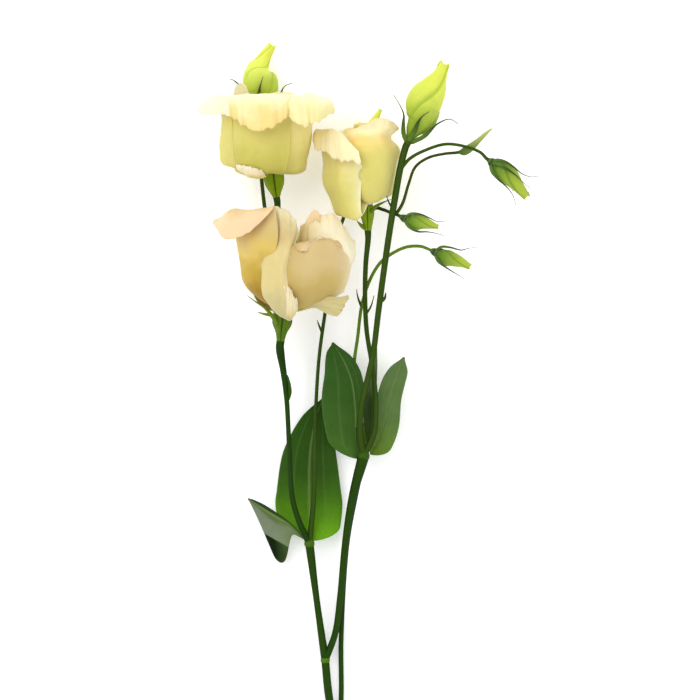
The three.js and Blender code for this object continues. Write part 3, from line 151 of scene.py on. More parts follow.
# Petals in front: nets of places from root to margin, each row from left to right, in millimetres to the
# right of the bloom's base, above it and towards the viewer. Petals behind: azimuth seen from above the
# bloom, then radius, height and half width from root to margin. Tones run from root to margin too; rims are
# the tones of the left and the right margin.
BLOOMS = {
    "bloom_left": {
        "base": (-52.8, 134.4, 29),
        "axis": (-0.13, 0.957, 0.26),
        "calyx": (2.2, 3, 4.1, 5, 5.5, 5.7, 5.5, 4.8),
        "calyx_tone": (1.5, 1.45, 0.5, 1),
        "calyx_depth": 15,
        "sepals": (120, 190, 250), "hugging": (),
        "sheets": (
            {"tones": ("moss", "olive", "straw", "cream", "honey"), "net": (
                ((-3, 0.5, 1), (-1.5, 0.5, 2), (0, 0.5, 3), (1.5, 0.5, 3), (3, 0.5, 2)),
                ((-18.7, -4.5, 7), (-12, -6.3, 13), (-5.5, -6.3, 16), (-0.5, -5, 17), (6.6, -5.7, 16)),
                ((-21, 3, 13), (-13.7, 2.5, 20), (-5.5, 2.5, 24), (1.6, 2.5, 25), (9.3, 2.5, 23.5)),
                ((-22.5, 13.5, 16), (-14.3, 13.5, 23), (-5.5, 13.5, 27), (2.2, 13.5, 27.5),
                 (10.4, 13.5, 26)),
                ((-23, 27, 18), (-14.3, 27, 25), (-5.5, 27, 28.5), (2.7, 27, 29), (11, 27.3, 27)),
                ((-23.5, 37, 23), (-14.3, 37.5, 30), (-5.5, 37.5, 34), (3, 37.5, 34.5), (11.5, 37, 33)),
                ((-23.5, 33, 28), (-15, 33, 36), (-5.8, 32.5, 40.5), (3, 33.5, 40), (11, 34, 38)),
                ((-22.5, 21.6, 28), (-14.3, 19.4, 36), (-6, 16.8, 41), (2.6, 20.4, 40), (10.4, 24, 36.5)))},
            {"tones": ("moss", "straw", "butter", "cream", "ivory"), "net": (
                ((-2, 0.5, 3), (0, 0.5, 3.4), (1.5, 0.5, 3.4), (3, 0.5, 2.4), (3.5, 0.5, 1)),
                ((-1, -4.2, 13), (5.5, -5.2, 13), (10.6, -5.4, 11), (14.4, -5, 8), (17, -4, 2)),
                ((0, 3.6, 22.5), (6.6, 3.6, 22), (13, 3.6, 19), (17.2, 3.6, 13.5), (19.6, 3.6, 5)),
                ((0.5, 13.5, 25), (7.7, 13.5, 25), (14.3, 13.5, 22.5), (19.3, 13.5, 16.5), (21.6, 13.5, 7)),
                ((2.2, 27, 26.5), (9.4, 27, 26.5), (16, 27, 24.5), (21, 27, 19), (22.8, 27, 9)),
                ((3.9, 36, 30), (11, 37, 32), (18.2, 37, 30), (24.2, 37, 24), (27.5, 36.5, 14)),
                ((5.5, 33.5, 35), (12, 32.5, 39), (19.8, 31.5, 38), (27.8, 32, 31), (33, 34, 20)),
                ((8.3, 26, 35), (14.3, 21.4, 38.5), (21, 19.4, 37.5), (27, 23, 31), (35, 27, 20)))},
            {"tones": ("olive", "olive", "straw", "blush", "shell"), "net": (
                ((-3.4, 0.5, 1), (-2.6, 0.5, 2), (-1.6, 0.5, 3), (-0.6, 0.5, 3.4), (0.4, 0.5, 3.6)),
                ((-15.6, -3.4, 3), (-12.6, -5.6, 9), (-9.4, -6.8, 13), (-6, -7.2, 15.4),
                 (-2.6, -6.6, 16.4)),
                ((-19.4, -2.4, 9), (-15.6, -4.6, 14.6), (-11.4, -6, 18), (-7.4, -6.4, 19.8),
                 (-4, -5.6, 20.2)),
                ((-19.8, 0.8, 12.6), (-15.8, -0.6, 18), (-11.6, -1.8, 21.6), (-8, -2.6, 22.8),
                 (-5.6, -3.2, 22.6)))},
            {"tones": ("straw", "straw", "straw", "cream", "shell"), "net": (
                ((-3.4, 0.5, -2), (-3.8, 0.5, -1), (-3.8, 0.5, 0.5), (-3.4, 0.5, 1.5), (-2.4, 0.5, 3)),
                ((-17, -1, -9), (-22.5, -1, -4), (-25.4, -0.5, 2), (-23, -1, 7), (-17.6, -3, 10)),
                ((-20, 8, -10), (-25.5, 8, -4), (-28.6, 8, 3), (-26.4, 7.6, 10), (-20.6, 6.4, 15.6)),
                ((-21, 17, -10), (-26, 17, -4), (-28, 17, 4), (-26.4, 17, 11.6), (-21, 17, 18.2)),
                ((-22, 27, -10), (-26.5, 27, -4), (-27.6, 26.5, 4), (-26.4, 26, 13), (-21.4, 26, 19.8)),
                ((-24, 36.5, -11), (-28, 37, -5), (-30.5, 37, 4), (-27, 37.4, 16), (-19, 37.6, 25.4)),
                ((-29, 36.5, -12), (-34.5, 35, -5), (-36.4, 34, 5), (-31, 32.6, 20), (-19, 33.4, 30)),
                ((-34, 33, -12), (-39, 30.4, -5), (-40.6, 28.2, 5), (-31.4, 26, 20), (-18, 25, 30)))},
        ),
        "tones": ("olive", "straw", "butter", "cream", "ivory"),
        "petals": (
            {"az": 97, "radius": (1.5, 12, 17.5, 20.5, 21.5, 22.5, 25.5, 30.5, 33.5),
             "height": (0.5, -1.5, 0.5, 7, 18, 28, 33.4, 33.6, 28),
             "width": (3, 11, 15, 16, 16, 16, 16, 15, 12)},
            {"az": 142, "radius": (1.5, 11, 17, 20, 20.5, 20, 19.5, 19.5, 20),
             "height": (0.5, -1, 1, 7, 17, 26, 31, 34.5, 36), "width": (3, 11, 15, 17, 17, 15, 13, 11, 8)},
            {"az": 190, "radius": (1.5, 11, 17, 19.5, 19.5, 19, 18, 17, 16.5),
             "height": (0.5, -1, 1, 7, 16, 24, 28.4, 31, 32.6),
             "width": (3, 11, 15, 17, 17, 16, 15, 14, 12)},
            {"az": 234, "radius": (1.5, 11, 17, 20, 20.5, 19, 17, 15.6, 14.6),
             "height": (0.5, -1, 1, 7, 17, 27, 34, 40, 46), "width": (3, 11, 15, 17, 17, 15, 10, 6, 3),
             "tones": ("straw", "butter", "cream", "shell", "shell"), "frill": 0.3},
        ),
        "inner": {"count": 4, "start": 20, "radius": (1.5, 8, 13, 15, 15.5, 17),
                  "height": (1, 1.4, 6, 15, 25, 33.5), "width": (3, 8, 11, 13, 13, 10)},
    },
    "bloom_front": {
        "base": (-46.6, 55, 30),
        "axis": (0.085, 0.965, 0.22),
        "calyx": (2.2, 2.5, 3, 3.8, 4.9, 5.5, 5.4, 4.8),
        "calyx_tone": (0.65, 0.78, 0.68, 1),
        "calyx_depth": 15,
        "sepals": (165, 200, 235),
        "hugging": (((-3.4, -8, 3.4), (-5.8, -4.4, 4.8), (-10, 0.6, 5.6), (-15.2, 4, 4),
                     (-19.8, 7.4, 1.4)),),
        "sheets": (
            # Painted shade: the bronze, gold and amber towards the foot of this sheet darken the recess under
            # the front fold, over the petal's own yellow foot
            {"tones": ("bronze_shade", "bronze_shade", "gold_shade", "amber_shade", "dune", "rose", "rose"), "net": (
                ((-3.4, 0.5, -1), (-3.4, 0.5, 0.5), (-3, 0.5, 1.5), (-2.4, 0.5, 2.5), (-1.4, 0.5, 3)),
                ((-12, 6, -5), (-14.4, 6.4, 3), (-11, 4.6, 9), (-6, 2, 11.6), (-1, 0.4, 12)),
                ((-19, 14.4, -5), (-21.8, 14.6, 5), (-17, 14, 12), (-11, 13, 15), (-4, 12, 16)),
                ((-20.5, 26, -5), (-23.8, 26, 5), (-18.6, 26, 13.5), (-12, 26.6, 18), (-4.4, 27, 20.6)),
                ((-22, 37, -6), (-25.6, 37, 5), (-20, 38, 16), (-12, 39.4, 22), (-2.6, 41, 24.6)),
                ((-27, 51, -6), (-28, 54, 4), (-21, 54, 15), (-12, 54.4, 21.6), (-4.4, 55.4, 24)),
                ((-33, 51, -4), (-34.4, 49.6, 8), (-27, 46.6, 21), (-16, 49.6, 26), (-5.6, 54.6, 25.4)),
                ((-42.6, 48, -1), (-37.4, 43.4, 11), (-28.8, 36.6, 22.4), (-18.6, 41.6, 26.4),
                 (-6.8, 53, 25.8)))},
            {"tones": ("sage", "sage", "beige", "beige", "dune", "pearl"), "rims": ("beige", "pearl"),
             "net": (
                ((-2, 0.5, 2.4), (-1, 0.5, 3), (0, 0.5, 3.4), (1, 0.5, 3), (2, 0.5, 2.4)),
                ((-9.5, 5, 13.5), (-5.5, -0.6, 14.5), (-0.5, -4.4, 15), (3.9, -6, 16), (7, -1.4, 15.6)),
                ((-11.7, 10.5, 18), (-7.3, 10, 21.6), (-4, 9.6, 23.6), (-0.2, 9.6, 24), (3.6, 10, 22.6)),
                ((-11.7, 21.5, 18), (-8.4, 21.5, 22), (-4.6, 21.5, 24.6), (-1, 21.5, 25.4),
                 (2.4, 21.5, 24)),
                ((-13, 33, 15.4), (-9, 32.5, 18.8), (-4, 32.5, 22.2), (1, 32.5, 23.8), (5.4, 32, 22.2)),
                ((-13, 43, 15.6), (-8, 42.5, 19.4), (-3, 42.5, 22.4), (2.8, 42, 23), (8.4, 40.5, 19)),
                ((-12, 54.4, 20), (-7.4, 55.6, 21), (-3, 56, 21.4), (2.8, 54, 19.6), (7.2, 47.5, 16.6)))},
            {"tones": ("sage", "beige", "pearl", "shell"), "frill": 1.4, "net": (
                ((-1, 0.5, 2.8), (-0.2, 0.5, 3), (0.6, 0.5, 3.2), (1.4, 0.5, 3), (2.2, 0.5, 2.4)),
                ((1.2, -3.4, 16.8), (2.8, -4.2, 17.4), (4.4, -4.4, 17.4), (6, -3.2, 17), (7.4, -1.2, 16)),
                ((1.2, 5, 22.6), (2.8, 4.6, 23.2), (4.4, 4, 23), (6.2, 3, 22), (8, 1.8, 20.4)),
                ((0.6, 14, 26), (2.4, 13, 26.2), (4.4, 10.6, 25.6), (6.6, 7, 24.4), (8.6, 3, 22)))},
            {"tones": ("ochre", "ochre", "dune", "dune", "rose"), "rims": ("ochre", "blush"), "net": (
                ((0, 0.5, 3.4), (1.4, 0.5, 3.4), (2.4, 0.5, 3), (3.4, 0.5, 2), (3.8, 0.5, 0)),
                ((2.5, 3, 13), (8, 1, 14), (16, 1.4, 13), (24, 4.6, 9), (30, 8, 1)),
                ((2, 10.5, 21), (9.2, 10.5, 24.5), (19, 10.5, 25), (27.9, 11, 19.5), (34, 12, 8)),
                ((2, 20.4, 23.6), (10.3, 20.4, 28), (20.2, 20.4, 28.5), (30, 20.4, 22.5), (36.6, 20.4, 11)),
                ((3.1, 29, 22.6), (10.8, 29, 27.5), (20.2, 29.4, 28), (29.6, 29, 22.5), (36.2, 28, 12)),
                ((5, 35, 21.6), (12, 36, 25.6), (19, 37.6, 26), (26.6, 36.8, 21.4), (33, 32, 13)),
                ((7.4, 34, 24.6), (11.6, 35.4, 28), (17.6, 38.8, 26.4), (26.6, 38, 21.8),
                 (33.4, 32.6, 13.4)),
                ((9, 30.4, 26), (12.6, 30.8, 29.4), (16, 36.4, 27.8), (26.6, 38, 22.4), (33.8, 32, 14)))},
            {"tones": ("sand", "butter", "shell", "shell", "blush"), "rims": ("sand", "shell"), "net": (
                ((2.5, 0.5, 0), (3.3, 0.5, 1), (3.8, 0.5, 0), (3.8, 0.5, -1.5), (3, 0.5, -2.5)),
                ((12, 6.4, 7), (19, 6.4, 6), (25, 7, 0), (27, 8, -5), (26, 9, -10)),
                ((14, 18.4, 16), (23, 18.4, 16), (31.6, 19, 8), (34.4, 19, 0), (32, 19, -8)),
                ((15, 29, 18), (25, 29.5, 18), (35.4, 29.5, 12), (40, 29, 4), (38, 29, -6)),
                ((14, 38.6, 17), (21.6, 40, 17), (31, 40.4, 13), (38.6, 36, 5), (39, 33, -5)),
                ((12.6, 47, 14), (19, 51.6, 13), (27, 52, 10), (34.4, 44.6, 5), (38.6, 38.4, -2)))},
            {"tones": ("ochre", "sand", "sand", "sand", "rose"), "net": (
                ((1, 0.5, 1), (1.6, 0.5, 1), (2.2, 0.5, 0.6), (2.8, 0.5, 0.2), (3.2, 0.5, -0.4)),
                ((4, 6, 7), (7, 6, 8.6), (11, 6, 9), (14, 6, 8), (17, 6, 6)),
                ((6, 18, 11), (10, 18, 13), (15, 18, 14), (19, 18, 13), (23, 18, 10)),
                ((8, 31, 13), (12, 31, 15), (17, 31, 15.6), (22, 31, 14.6), (27, 31, 11)),
                ((9.4, 43, 12.6), (13, 45.6, 14), (17.6, 46, 14), (23, 46, 12.6), (29, 46, 9)),
                ((9.8, 45, 12.4), (13.4, 50, 13.4), (17, 54.6, 13), (22.6, 50, 11.6), (29.4, 53, 8)))},
            {"tones": ("olive", "olive", "sage", "sage", "sage"), "net": (
                ((0, 0, 3), (1, -0.2, 3), (2, -0.4, 2.6), (3, -0.4, 1.6), (3.6, -0.2, 0.4)),
                ((7, -1.6, 8), (9.5, -0.8, 10), (12, 0.4, 11), (14.5, 1.6, 11), (17, 3, 10)),
                ((17, 0.4, 13), (18.4, 2.4, 15), (20, 4.4, 16), (21.4, 6, 16), (23, 7.4, 15)),
                ((24, -2.6, 16), (26, 0.2, 18.4), (27.6, 3, 19), (29, 5.2, 18.6), (30.6, 6.6, 17.4)),
                ((29.8, -4.2, 17), (32.4, -1.6, 19), (34.2, 1.6, 19.8), (35.8, 5, 19), (36.8, 7.8, 17.6)))},
        ),
        "tones": ("sand", "sand", "beige", "butter", "ivory"),
        "petals": (
            {"az": 134, "radius": (1.5, 8, 14, 18.5, 20.5, 21.5, 22, 22, 22),
             "height": (0.5, 0.5, 4, 11, 20, 29, 36, 41, 43), "width": (3, 8, 12, 15, 16, 16, 15, 14, 12)},
            {"az": 186, "radius": (1.5, 8, 13.5, 16.5, 17, 16, 15, 14.6, 14.6),
             "height": (0.5, 0.5, 5, 12, 21, 29, 34, 37, 38.5),
             "width": (3, 8, 12, 14, 15, 15, 15, 13, 11)},
            {"az": 240, "radius": (1.5, 8, 14, 17.5, 18.5, 18.5, 18, 18, 18),
             "height": (0.5, 0.5, 5, 13, 24, 34, 41, 45, 47), "width": (3, 8, 12, 15, 16, 15, 14, 12, 9)},
        ),
        "inner": {"count": 3, "start": 65, "radius": (1.5, 7, 11, 12.5, 12.5, 13),
                  "height": (1, 2, 8, 18, 29, 39), "width": (3, 7, 10, 12, 12, 10)},
    },
    "bloom_middle": {
        "base": (-0.6, 115.5, 27),
        "axis": (-0.03, 0.992, 0.12),
        "calyx": (2.1, 2.4, 2.8, 3.3, 3.7, 3.9, 3.8, 3.2),
        "calyx_tone": (1.6, 1.55, 0.85, 1),
        "calyx_depth": 14,
        "sepals": (200, 250),
        "hugging": (((2, -7.2, 2.2), (4.6, -4.4, 4.6), (8.8, -2, 6.8), (13.4, -0.2, 4.4)),
                    ((-1.2, -16.2, -0.6), (-3, -14.6, 1.2), (-4.6, -13, 2.6), (-5.6, -11.8, 3.4))),
        "sheets": (
            {"tones": ("straw", "straw", "straw", "butter", "peach", "peach"), "rims": ("ivory", "cream"),
             "frill": 0.5, "net": (
                ((-3.4, 0.5, -1), (-3.4, 0.5, 1), (-3, 0.5, 2.4), (-1.4, 0.5, 3.4), (0, 0.5, 3.8)),
                ((-11, -1, 0), (-10, -1.4, 4), (-7.4, -1.6, 8), (-3.6, -1.8, 10), (1, -1.4, 10.4)),
                ((-16, -6.6, 0), (-16, -8.8, 6), (-10.6, -10.6, 12), (-5.4, -11.6, 15), (-2.6, -8.6, 16.4)),
                ((-18, 0, -1), (-19.6, 0, 6), (-14.5, -0.6, 14), (-9, -0.8, 17), (-3.4, -0.8, 17.6)),
                ((-22, 9.5, -2), (-23.6, 9.5, 6), (-17.5, 9.5, 15.6), (-11, 9, 19.6), (-3, 8.5, 20.8)),
                ((-22, 20, -2), (-23.4, 20, 6), (-17, 20, 16), (-11.4, 18, 20.8), (-2.6, 16.4, 22.6)),
                ((-24, 29.6, -2), (-24.6, 29.6, 8), (-18.6, 29.6, 16), (-13, 26.6, 21), (-3.8, 20.4, 24)),
                ((-26.6, 37.8, 2), (-25.4, 38, 10), (-19, 38, 17), (-14.4, 35.6, 21), (-5, 25.6, 27)),
                ((-29, 36.4, 9), (-28, 34.6, 14), (-21, 34, 21.6), (-14.4, 30.6, 26), (-4, 23.4, 30)),
                ((-29.8, 30.4, 11), (-28, 25.4, 15), (-20.6, 22.6, 22.6), (-12, 17.6, 27.6),
                 (-1.6, 15.4, 29.6)))},
            {"tones": ("olive", "straw", "straw", "straw", "honey", "peach", "blush"), "frill": 0.7,
             "net": (
                ((-1, 0.5, 3.8), (1, 0.5, 3.6), (2.4, 0.5, 2.8), (3.4, 0.5, 1.2), (3.8, 0.5, -1)),
                ((-2.4, -1, 14), (1.8, -2.2, 14.4), (6.2, -1.2, 13.2), (10.4, 1, 9.4), (13.4, 2.2, 2)),
                ((-8, 9.5, 18.8), (0, 9.4, 21.4), (7.5, 9.5, 20), (12.3, 9.5, 13.8), (14.6, 9.5, 4.6)),
                ((-8, 19, 20), (1, 18.7, 23.4), (8.6, 18.7, 21.8), (13.6, 18.7, 15), (16, 18.7, 6)),
                ((-9, 26, 19.4), (0, 27, 23.2), (9, 27, 21.6), (15, 27, 15), (17.8, 27, 6.4)),
                ((-11.6, 31.4, 15), (-3, 32.6, 21.4), (4, 34, 22.2), (9.6, 34, 18.4), (12.6, 33.4, 10)),
                ((-13, 35, 13.6), (-4.6, 36.2, 21), (4.2, 39, 21.6), (11.4, 39.4, 18.6),
                 (15.2, 36.2, 10.6)),
                ((-13.8, 37.8, 13), (-5, 38.8, 21.4), (4.4, 43.4, 22.4), (13, 43.6, 18.6),
                 (18.6, 38.4, 10.6)))},
        ),
        "tones": ("straw", "straw", "butter", "honey", "ivory"),
        "petals": (
            {"az": 108, "radius": (1.5, 8, 12.4, 15, 15, 14.6, 14.6, 15.4, 16),
             "height": (0.5, 1, 4, 11, 20, 28, 34, 38, 39), "width": (3, 8, 12, 14, 14, 14, 14, 12, 9)},
            {"az": 162, "radius": (1.5, 8, 12.5, 14.5, 14.5, 14, 14, 14.5, 16),
             "height": (0.5, 0, 3, 10, 20, 29, 35.6, 40, 42), "width": (3, 8, 11, 13, 14, 14, 13, 12, 10)},
            {"az": 216, "radius": (1.5, 8, 12.5, 14.5, 14.5, 14, 14, 14.5, 16),
             "height": (0.5, -1, 1.5, 8, 18, 27, 33, 37, 38), "width": (3, 8, 11, 13, 14, 14, 13, 12, 10)},
            {"az": -96, "radius": (1.5, 9, 15, 18, 18.5, 19, 19.5, 20.5, 21),
             "height": (0.5, -1.8, -0.8, 6, 16, 24, 30, 33, 34),
             "width": (3, 8, 12, 14, 15, 15, 15, 13, 10)},
        ),
        "inner": {"count": 3, "start": 30, "radius": (1.5, 6, 10, 12, 12, 12.5),
                  "height": (1, 1.4, 6, 15, 25, 34), "width": (3, 6, 9.5, 12, 12, 9)},
    },
}

# Tones of the petals, from 0 to 255
TONES = {
    # The next three tones are a petal's yellow foot darkened with painted shade
    "bronze_shade": (160, 126, 36),
    "gold_shade": (196, 164, 66),
    "amber_shade": (222, 192, 104),
    "moss": (186, 178, 74),
    "olive": (202, 192, 92),
    "straw": (220, 208, 116),
    "butter": (236, 220, 142),
    "cream": (254, 249, 202),
    "shell": (254, 242, 206),
    "pearl": (238, 224, 182),
    "ivory": (252, 236, 166),
    "honey": (249, 217, 138),
    "blush": (250, 226, 182),
    "peach": (255, 238, 184),
    "rose": (244, 208, 166),
    "beige": (223, 203, 140),
    "dune": (210, 186, 130),
    "sand": (220, 196, 138),
    "ochre": (198, 172, 100),
    "sage": (200, 188, 136),
}

# Closed buds: a spine, a radius at each place of it, the angle of the overlap of two petals along it, and
# the routes of the sepals
BUDS = {
    "bud_back_left": {
        "spine": ((-59.4, 170, 9.4), (-59, 173.2, 9.8), (-58.9, 176.5, 10), (-60, 181, 10.2),
                  (-60.4, 185.3, 10.2), (-60, 188.6, 10.2), (-58.4, 191.9, 10.4), (-56.6, 195.2, 10.6),
                  (-54.2, 198.5, 10.8), (-52.9, 200.7, 11)),
        "radii": (3.4, 7.4, 9.1, 9.5, 8.2, 5.8, 4.2, 3.3, 2.7, 2.2),
        "twist": (-100, -84, -62, -44, -18, 66, 95, 110, 125),
        "sepals": (
            ((-60, 168, 13.2), (-60.2, 172, 18.4), (-60, 175, 20.4), (-59, 179.4, 21.4),
             (-57.8, 183.2, 20.6)),
            ((-62.5, 168.6, 9.4), (-68.4, 173.2, 9.6), (-70.6, 178, 9.8), (-74.3, 181.5, 10),
             (-76.5, 182, 10)),
            ((-56.4, 168, 9.4), (-51.2, 170.2, 9.6), (-48.4, 174, 9.8), (-46, 178.2, 10),
             (-41.8, 179.9, 10)),
            ((-61, 168.4, 6.4), (-64.4, 171, 4.6), (-68, 175.6, 4.2)),
            ((-57.4, 168.4, 6.4), (-54, 171, 4.6), (-50, 175.6, 4.2)),
        ),
    },
    "bud_tall": {
        "spine": ((22.9, 148.5, 40.9), (25.2, 153.2, 41), (28.4, 157.9, 41.1), (29.6, 162.3, 41.2),
                  (30.6, 166.7, 41.2), (32.7, 171, 41.2), (35.1, 174.9, 41.2), (37.1, 178.8, 41.2),
                  (39.4, 183.7, 41.2), (41.8, 189.4, 41.2)),
        "radii": (2.2, 4.8, 7.5, 8.7, 9.7, 9.3, 8, 6.2, 4, 3),
        "twist": (-70, -35, 8, 38, 74),
        "sepals": (
            ((21.4, 146.4, 41.4), (19.6, 151, 44), (19.4, 157, 46), (19.6, 161.6, 45), (17.4, 167, 43),
             (13.9, 172.7, 41.6)),
            ((24, 146.4, 42.4), (30.6, 149.6, 45), (35, 153.8, 46.4), (38.8, 157, 43.4),
             (44.8, 159.2, 41.6), (49.5, 156.4, 41)),
            ((22.2, 147.2, 43.4), (25.5, 152.7, 47), (27.5, 157.3, 50), (29.7, 160.4, 51),
             (33.6, 163.1, 50)),
            ((22, 147, 38.4), (24.6, 152, 35.4), (27, 158, 32.4), (27.6, 164, 31)),
            ((23, 147, 38.8), (28, 151, 35.8), (33, 156.4, 33), (36, 162, 32)),
        ),
    },
    "bud_droop": {
        "spine": ((68.8, 134.8, 41.2), (71, 133.2, 40.8), (74.4, 130.4, 40.2), (78, 127.2, 39.4),
                  (82, 123, 38.4), (87, 116.8, 37)),
        "radii": (1.8, 4.4, 5.4, 4.8, 3.5, 2.1), "twist": (-60, -10, 40, 90),
        "sepals": (
            ((67.9, 135.6, 42), (70.4, 136.6, 44), (75.4, 135.6, 45), (80.4, 132.4, 43.2),
             (84, 129.4, 41.4),
             (88.8, 127.6, 40.4), (93.4, 127.8, 40)),
            ((68.4, 135, 43), (72, 134, 46.8), (76, 131.8, 47.2), (80.6, 128.6, 45.4), (84.4, 125, 43),
             (89.2, 121, 41)),
            ((67, 134.4, 42), (68.2, 130, 44.6), (71.6, 126, 44.4), (75.8, 122.2, 42), (79.4, 117.6, 40.6),
             (81.2, 111.8, 39.4)),
            ((67.2, 134.8, 39.4), (69, 130.8, 36.2), (72.6, 127.4, 34.6), (76.4, 124.4, 33.8),
             (80, 119.6, 33)),
            ((68.2, 136.2, 39.4), (72.4, 135.6, 36.2), (76.4, 133, 34.8), (80.4, 129, 33.8),
             (84, 124.6, 33)),
        ),
    },
    "bud_small_upper": {
        "spine": ((20.6, 104.4, 36.6), (23, 103.2, 36.4), (26.6, 102.6, 36.2), (30.6, 102.2, 36),
                  (34.4, 101.2, 35.6), (38.4, 100.2, 35)),
        "radii": (1.3, 3.4, 4.3, 3.4, 2.2, 1.2), "twist": (-80, -30, 20, 60),
        "sepals": (
            ((20.4, 105.6, 36.8), (23.6, 107.2, 38.6), (28.4, 107, 38.4), (34, 104.8, 37.2),
             (38, 103, 36.6),
             (43.4, 103.4, 36)),
            ((19.6, 104.9, 35), (22.6, 103.4, 32.2), (26, 102.9, 31), (31, 102.3, 31)),
            ((20, 103.6, 37.4), (22.6, 100, 39.2), (27.2, 97.6, 38.8), (32.4, 97.4, 37.4),
             (37.4, 96.6, 36.6),
             (42, 95.2, 36)),
            ((19.4, 104, 35.4), (22, 101, 32.8), (26, 100, 31.9), (30, 99.4, 31.6)),
            ((19.8, 105.6, 35.4), (23, 106.1, 32.8), (26.6, 105.5, 31.8), (31, 104.8, 31.6)),
        ),
    },
    "bud_small_lower": {
        "spine": ((37.6, 86, 25), (40.2, 84.8, 24.8), (43.8, 83.2, 24.4), (48, 81.8, 24),
                  (52, 80.4, 23.4), (56, 78.4, 22.6)),
        "radii": (1.4, 3.4, 4.4, 3.6, 2.5, 1.6), "twist": (-80, -30, 20, 60),
        "sepals": (
            ((37.2, 87.2, 25.2), (40.4, 89.2, 25.8), (45.6, 88.8, 26), (51.2, 87.4, 25.6), (55.4, 88.4, 25),
             (60, 89, 24.6)),
            ((36.8, 86.2, 23.2), (39.6, 85, 20.6), (43.4, 83.6, 19.2), (48, 82.4, 19.2)),
            ((36.8, 85.2, 25.6), (38.6, 81.4, 27.2), (42, 78.6, 26.6), (46, 76, 25.6), (50, 73.6, 25),
             (53.6, 71.4, 24.4)),
            ((36.6, 85.4, 23.6), (39, 82.6, 21), (42.6, 80.6, 19.9), (46.8, 79.4, 19.6)),
            ((37, 87, 23.6), (40.4, 87.8, 21.2), (44.2, 86.2, 20), (48.4, 85, 19.6)),
        ),
    },
    "bud_hidden": {
        "spine": ((-2.2, 131, 5.6), (-1.6, 135, 6), (-0.6, 141, 6.2), (0.4, 147, 6.2), (1.8, 153.4, 6.4),
                  (4, 159.6, 6.6), (7, 165.4, 6.8)),
        "radii": (2.2, 4.8, 6, 6, 4.2, 2.2, 1), "twist": (-60, 0, 60),
        "sepals": (
            ((-4, 129, 6), (-8, 134, 6.4), (-9.4, 140, 6.4), (-9.6, 146, 6)),
            ((-2, 128.6, 8), (-1.6, 134, 12.4), (-1, 140, 13.6), (0, 146, 13.6)),
            ((-0.6, 129, 6), (4.4, 133, 6.4), (6.8, 139, 6.4), (8.2, 145, 6)),
        ),
    },
}

YOUNG_BUD = {
    "route": ((49.8, 141, 38.2), (52.6, 141.4, 38.3), (56.2, 143.6, 38.5), (60.6, 147.4, 38.8),
              (64.4, 151, 39), (67.9, 154, 39)),
    "radii": (0.9, 2.1, 2.1, 1.4, 1, 0.45),
}

# Leaves: a midrib, half widths from base to tip, the ways in which the halves spread, the height of the
# ripples and how much the margins rise
LEAVES = {
    "leaf_lower_broad": {
        "midrib": ((-31.6, -72.8, 9), (-32.2, -60, 6), (-32.6, -47, 4.6), (-31.8, -22, 4.2), (-28.4, -4, 5),
                   (-24.8, 6, 6)),
        "left": (5, 12.6, 17.6, 18.6, 17.4, 15.6, 12.4, 8.6, 4.6, 0.5),
        "right": (15, 16.6, 17.8, 18.4, 17.2, 15, 11.6, 7.2, 4, 0.5),
        "left_way": (-1, 0, 0), "right_way": (1, 0, 0), "wave": 0.9, "cup": 2.2,
    },
    "leaf_lower_folded": {
        "midrib": ((-35, -72, 10.8), (-43, -64, 12.4), (-53.4, -57.6, 13), (-60, -53.6, 12.6),
                   (-66.2, -49.6, 11.6)),
        "left": (1.2, 2.2, 3, 4, 5, 5, 4, 2.6, 0.4),
        "right": (1.2, 2.6, 7, 24.5, 27, 20, 12, 5.5, 0.4),
        "left_way": (-0.3, 0.6, -0.74), "right_way": (0.1, -0.95, -0.28), "wave": 0.3, "cup": 0,
    },
    "leaf_upper_left": {
        "midrib": ((-5.4, -27.5, 16.2), (-6.2, -13, 15.8), (-6.8, 2, 16.4), (-9, 16, 17.2),
                   (-13.6, 27, 16.4), (-19.5, 36.6, 14)),
        "left": (14.6, 16.6, 18.2, 19, 17.6, 14.6, 11.4, 7, 0.5),
        "right": (0.8, 2, 3, 4, 5.6, 6.6, 7, 5.4, 0.5),
        "left_way": (-1, 0.12, 0), "right_way": (1, -0.12, 0), "wave": 0.6, "cup": 2.4,
    },
    "leaf_upper_right": {
        "midrib": ((1.4, -25, 15), (6, -16, 14.2), (9.4, -6, 14), (12, 6, 14.8), (15.6, 18, 16.4),
                   (19.8, 28.6, 19)),
        "left": (1, 3.4, 5, 6, 6.8, 7, 6.6, 4.6, 0.4),
        "right": (8.6, 8.8, 8.8, 8.4, 7.4, 6.4, 6, 5, 0.4),
        "left_way": (-0.95, 0.3, 0), "right_way": (0.95, -0.3, 0), "wave": 0.7, "cup": 2,
    },
    "leaf_upper_narrow": {
        "midrib": ((-0.8, -24, 13.8), (0.8, -18, 10.6), (1.4, -8, 8.8), (1.8, 6, 8.8), (3.2, 22, 10.2),
                   (4.6, 37.6, 12.6)),
        "left": (0.6, 2.2, 3.8, 4, 3.4, 2.4, 0.4),
        "right": (0.6, 2.4, 3.4, 3.2, 2.6, 1.8, 0.4),
        "left_way": (-1, 0, 0), "right_way": (1, 0, 0), "wave": 0.3, "cup": 0.8,
    },
}

# Places where stems join
CUT_END = (-17, -201.5, 1.9)
LOWEST_JOINT = (-16.5, -183, 2.3)
FORK = (-23.6, -139, 5.5)
LEFT_NODE = (-32.3, -74.5, 11.5)
RIGHT_NODE = (-2.4, -26, 18.5)
TWIN_JOINT = (-46.7, 21.5, 19)
BACK_BUD_JOINT = (-49.5, 66, 11.8)
TWIG_JOINT = (15.4, 107, 38)

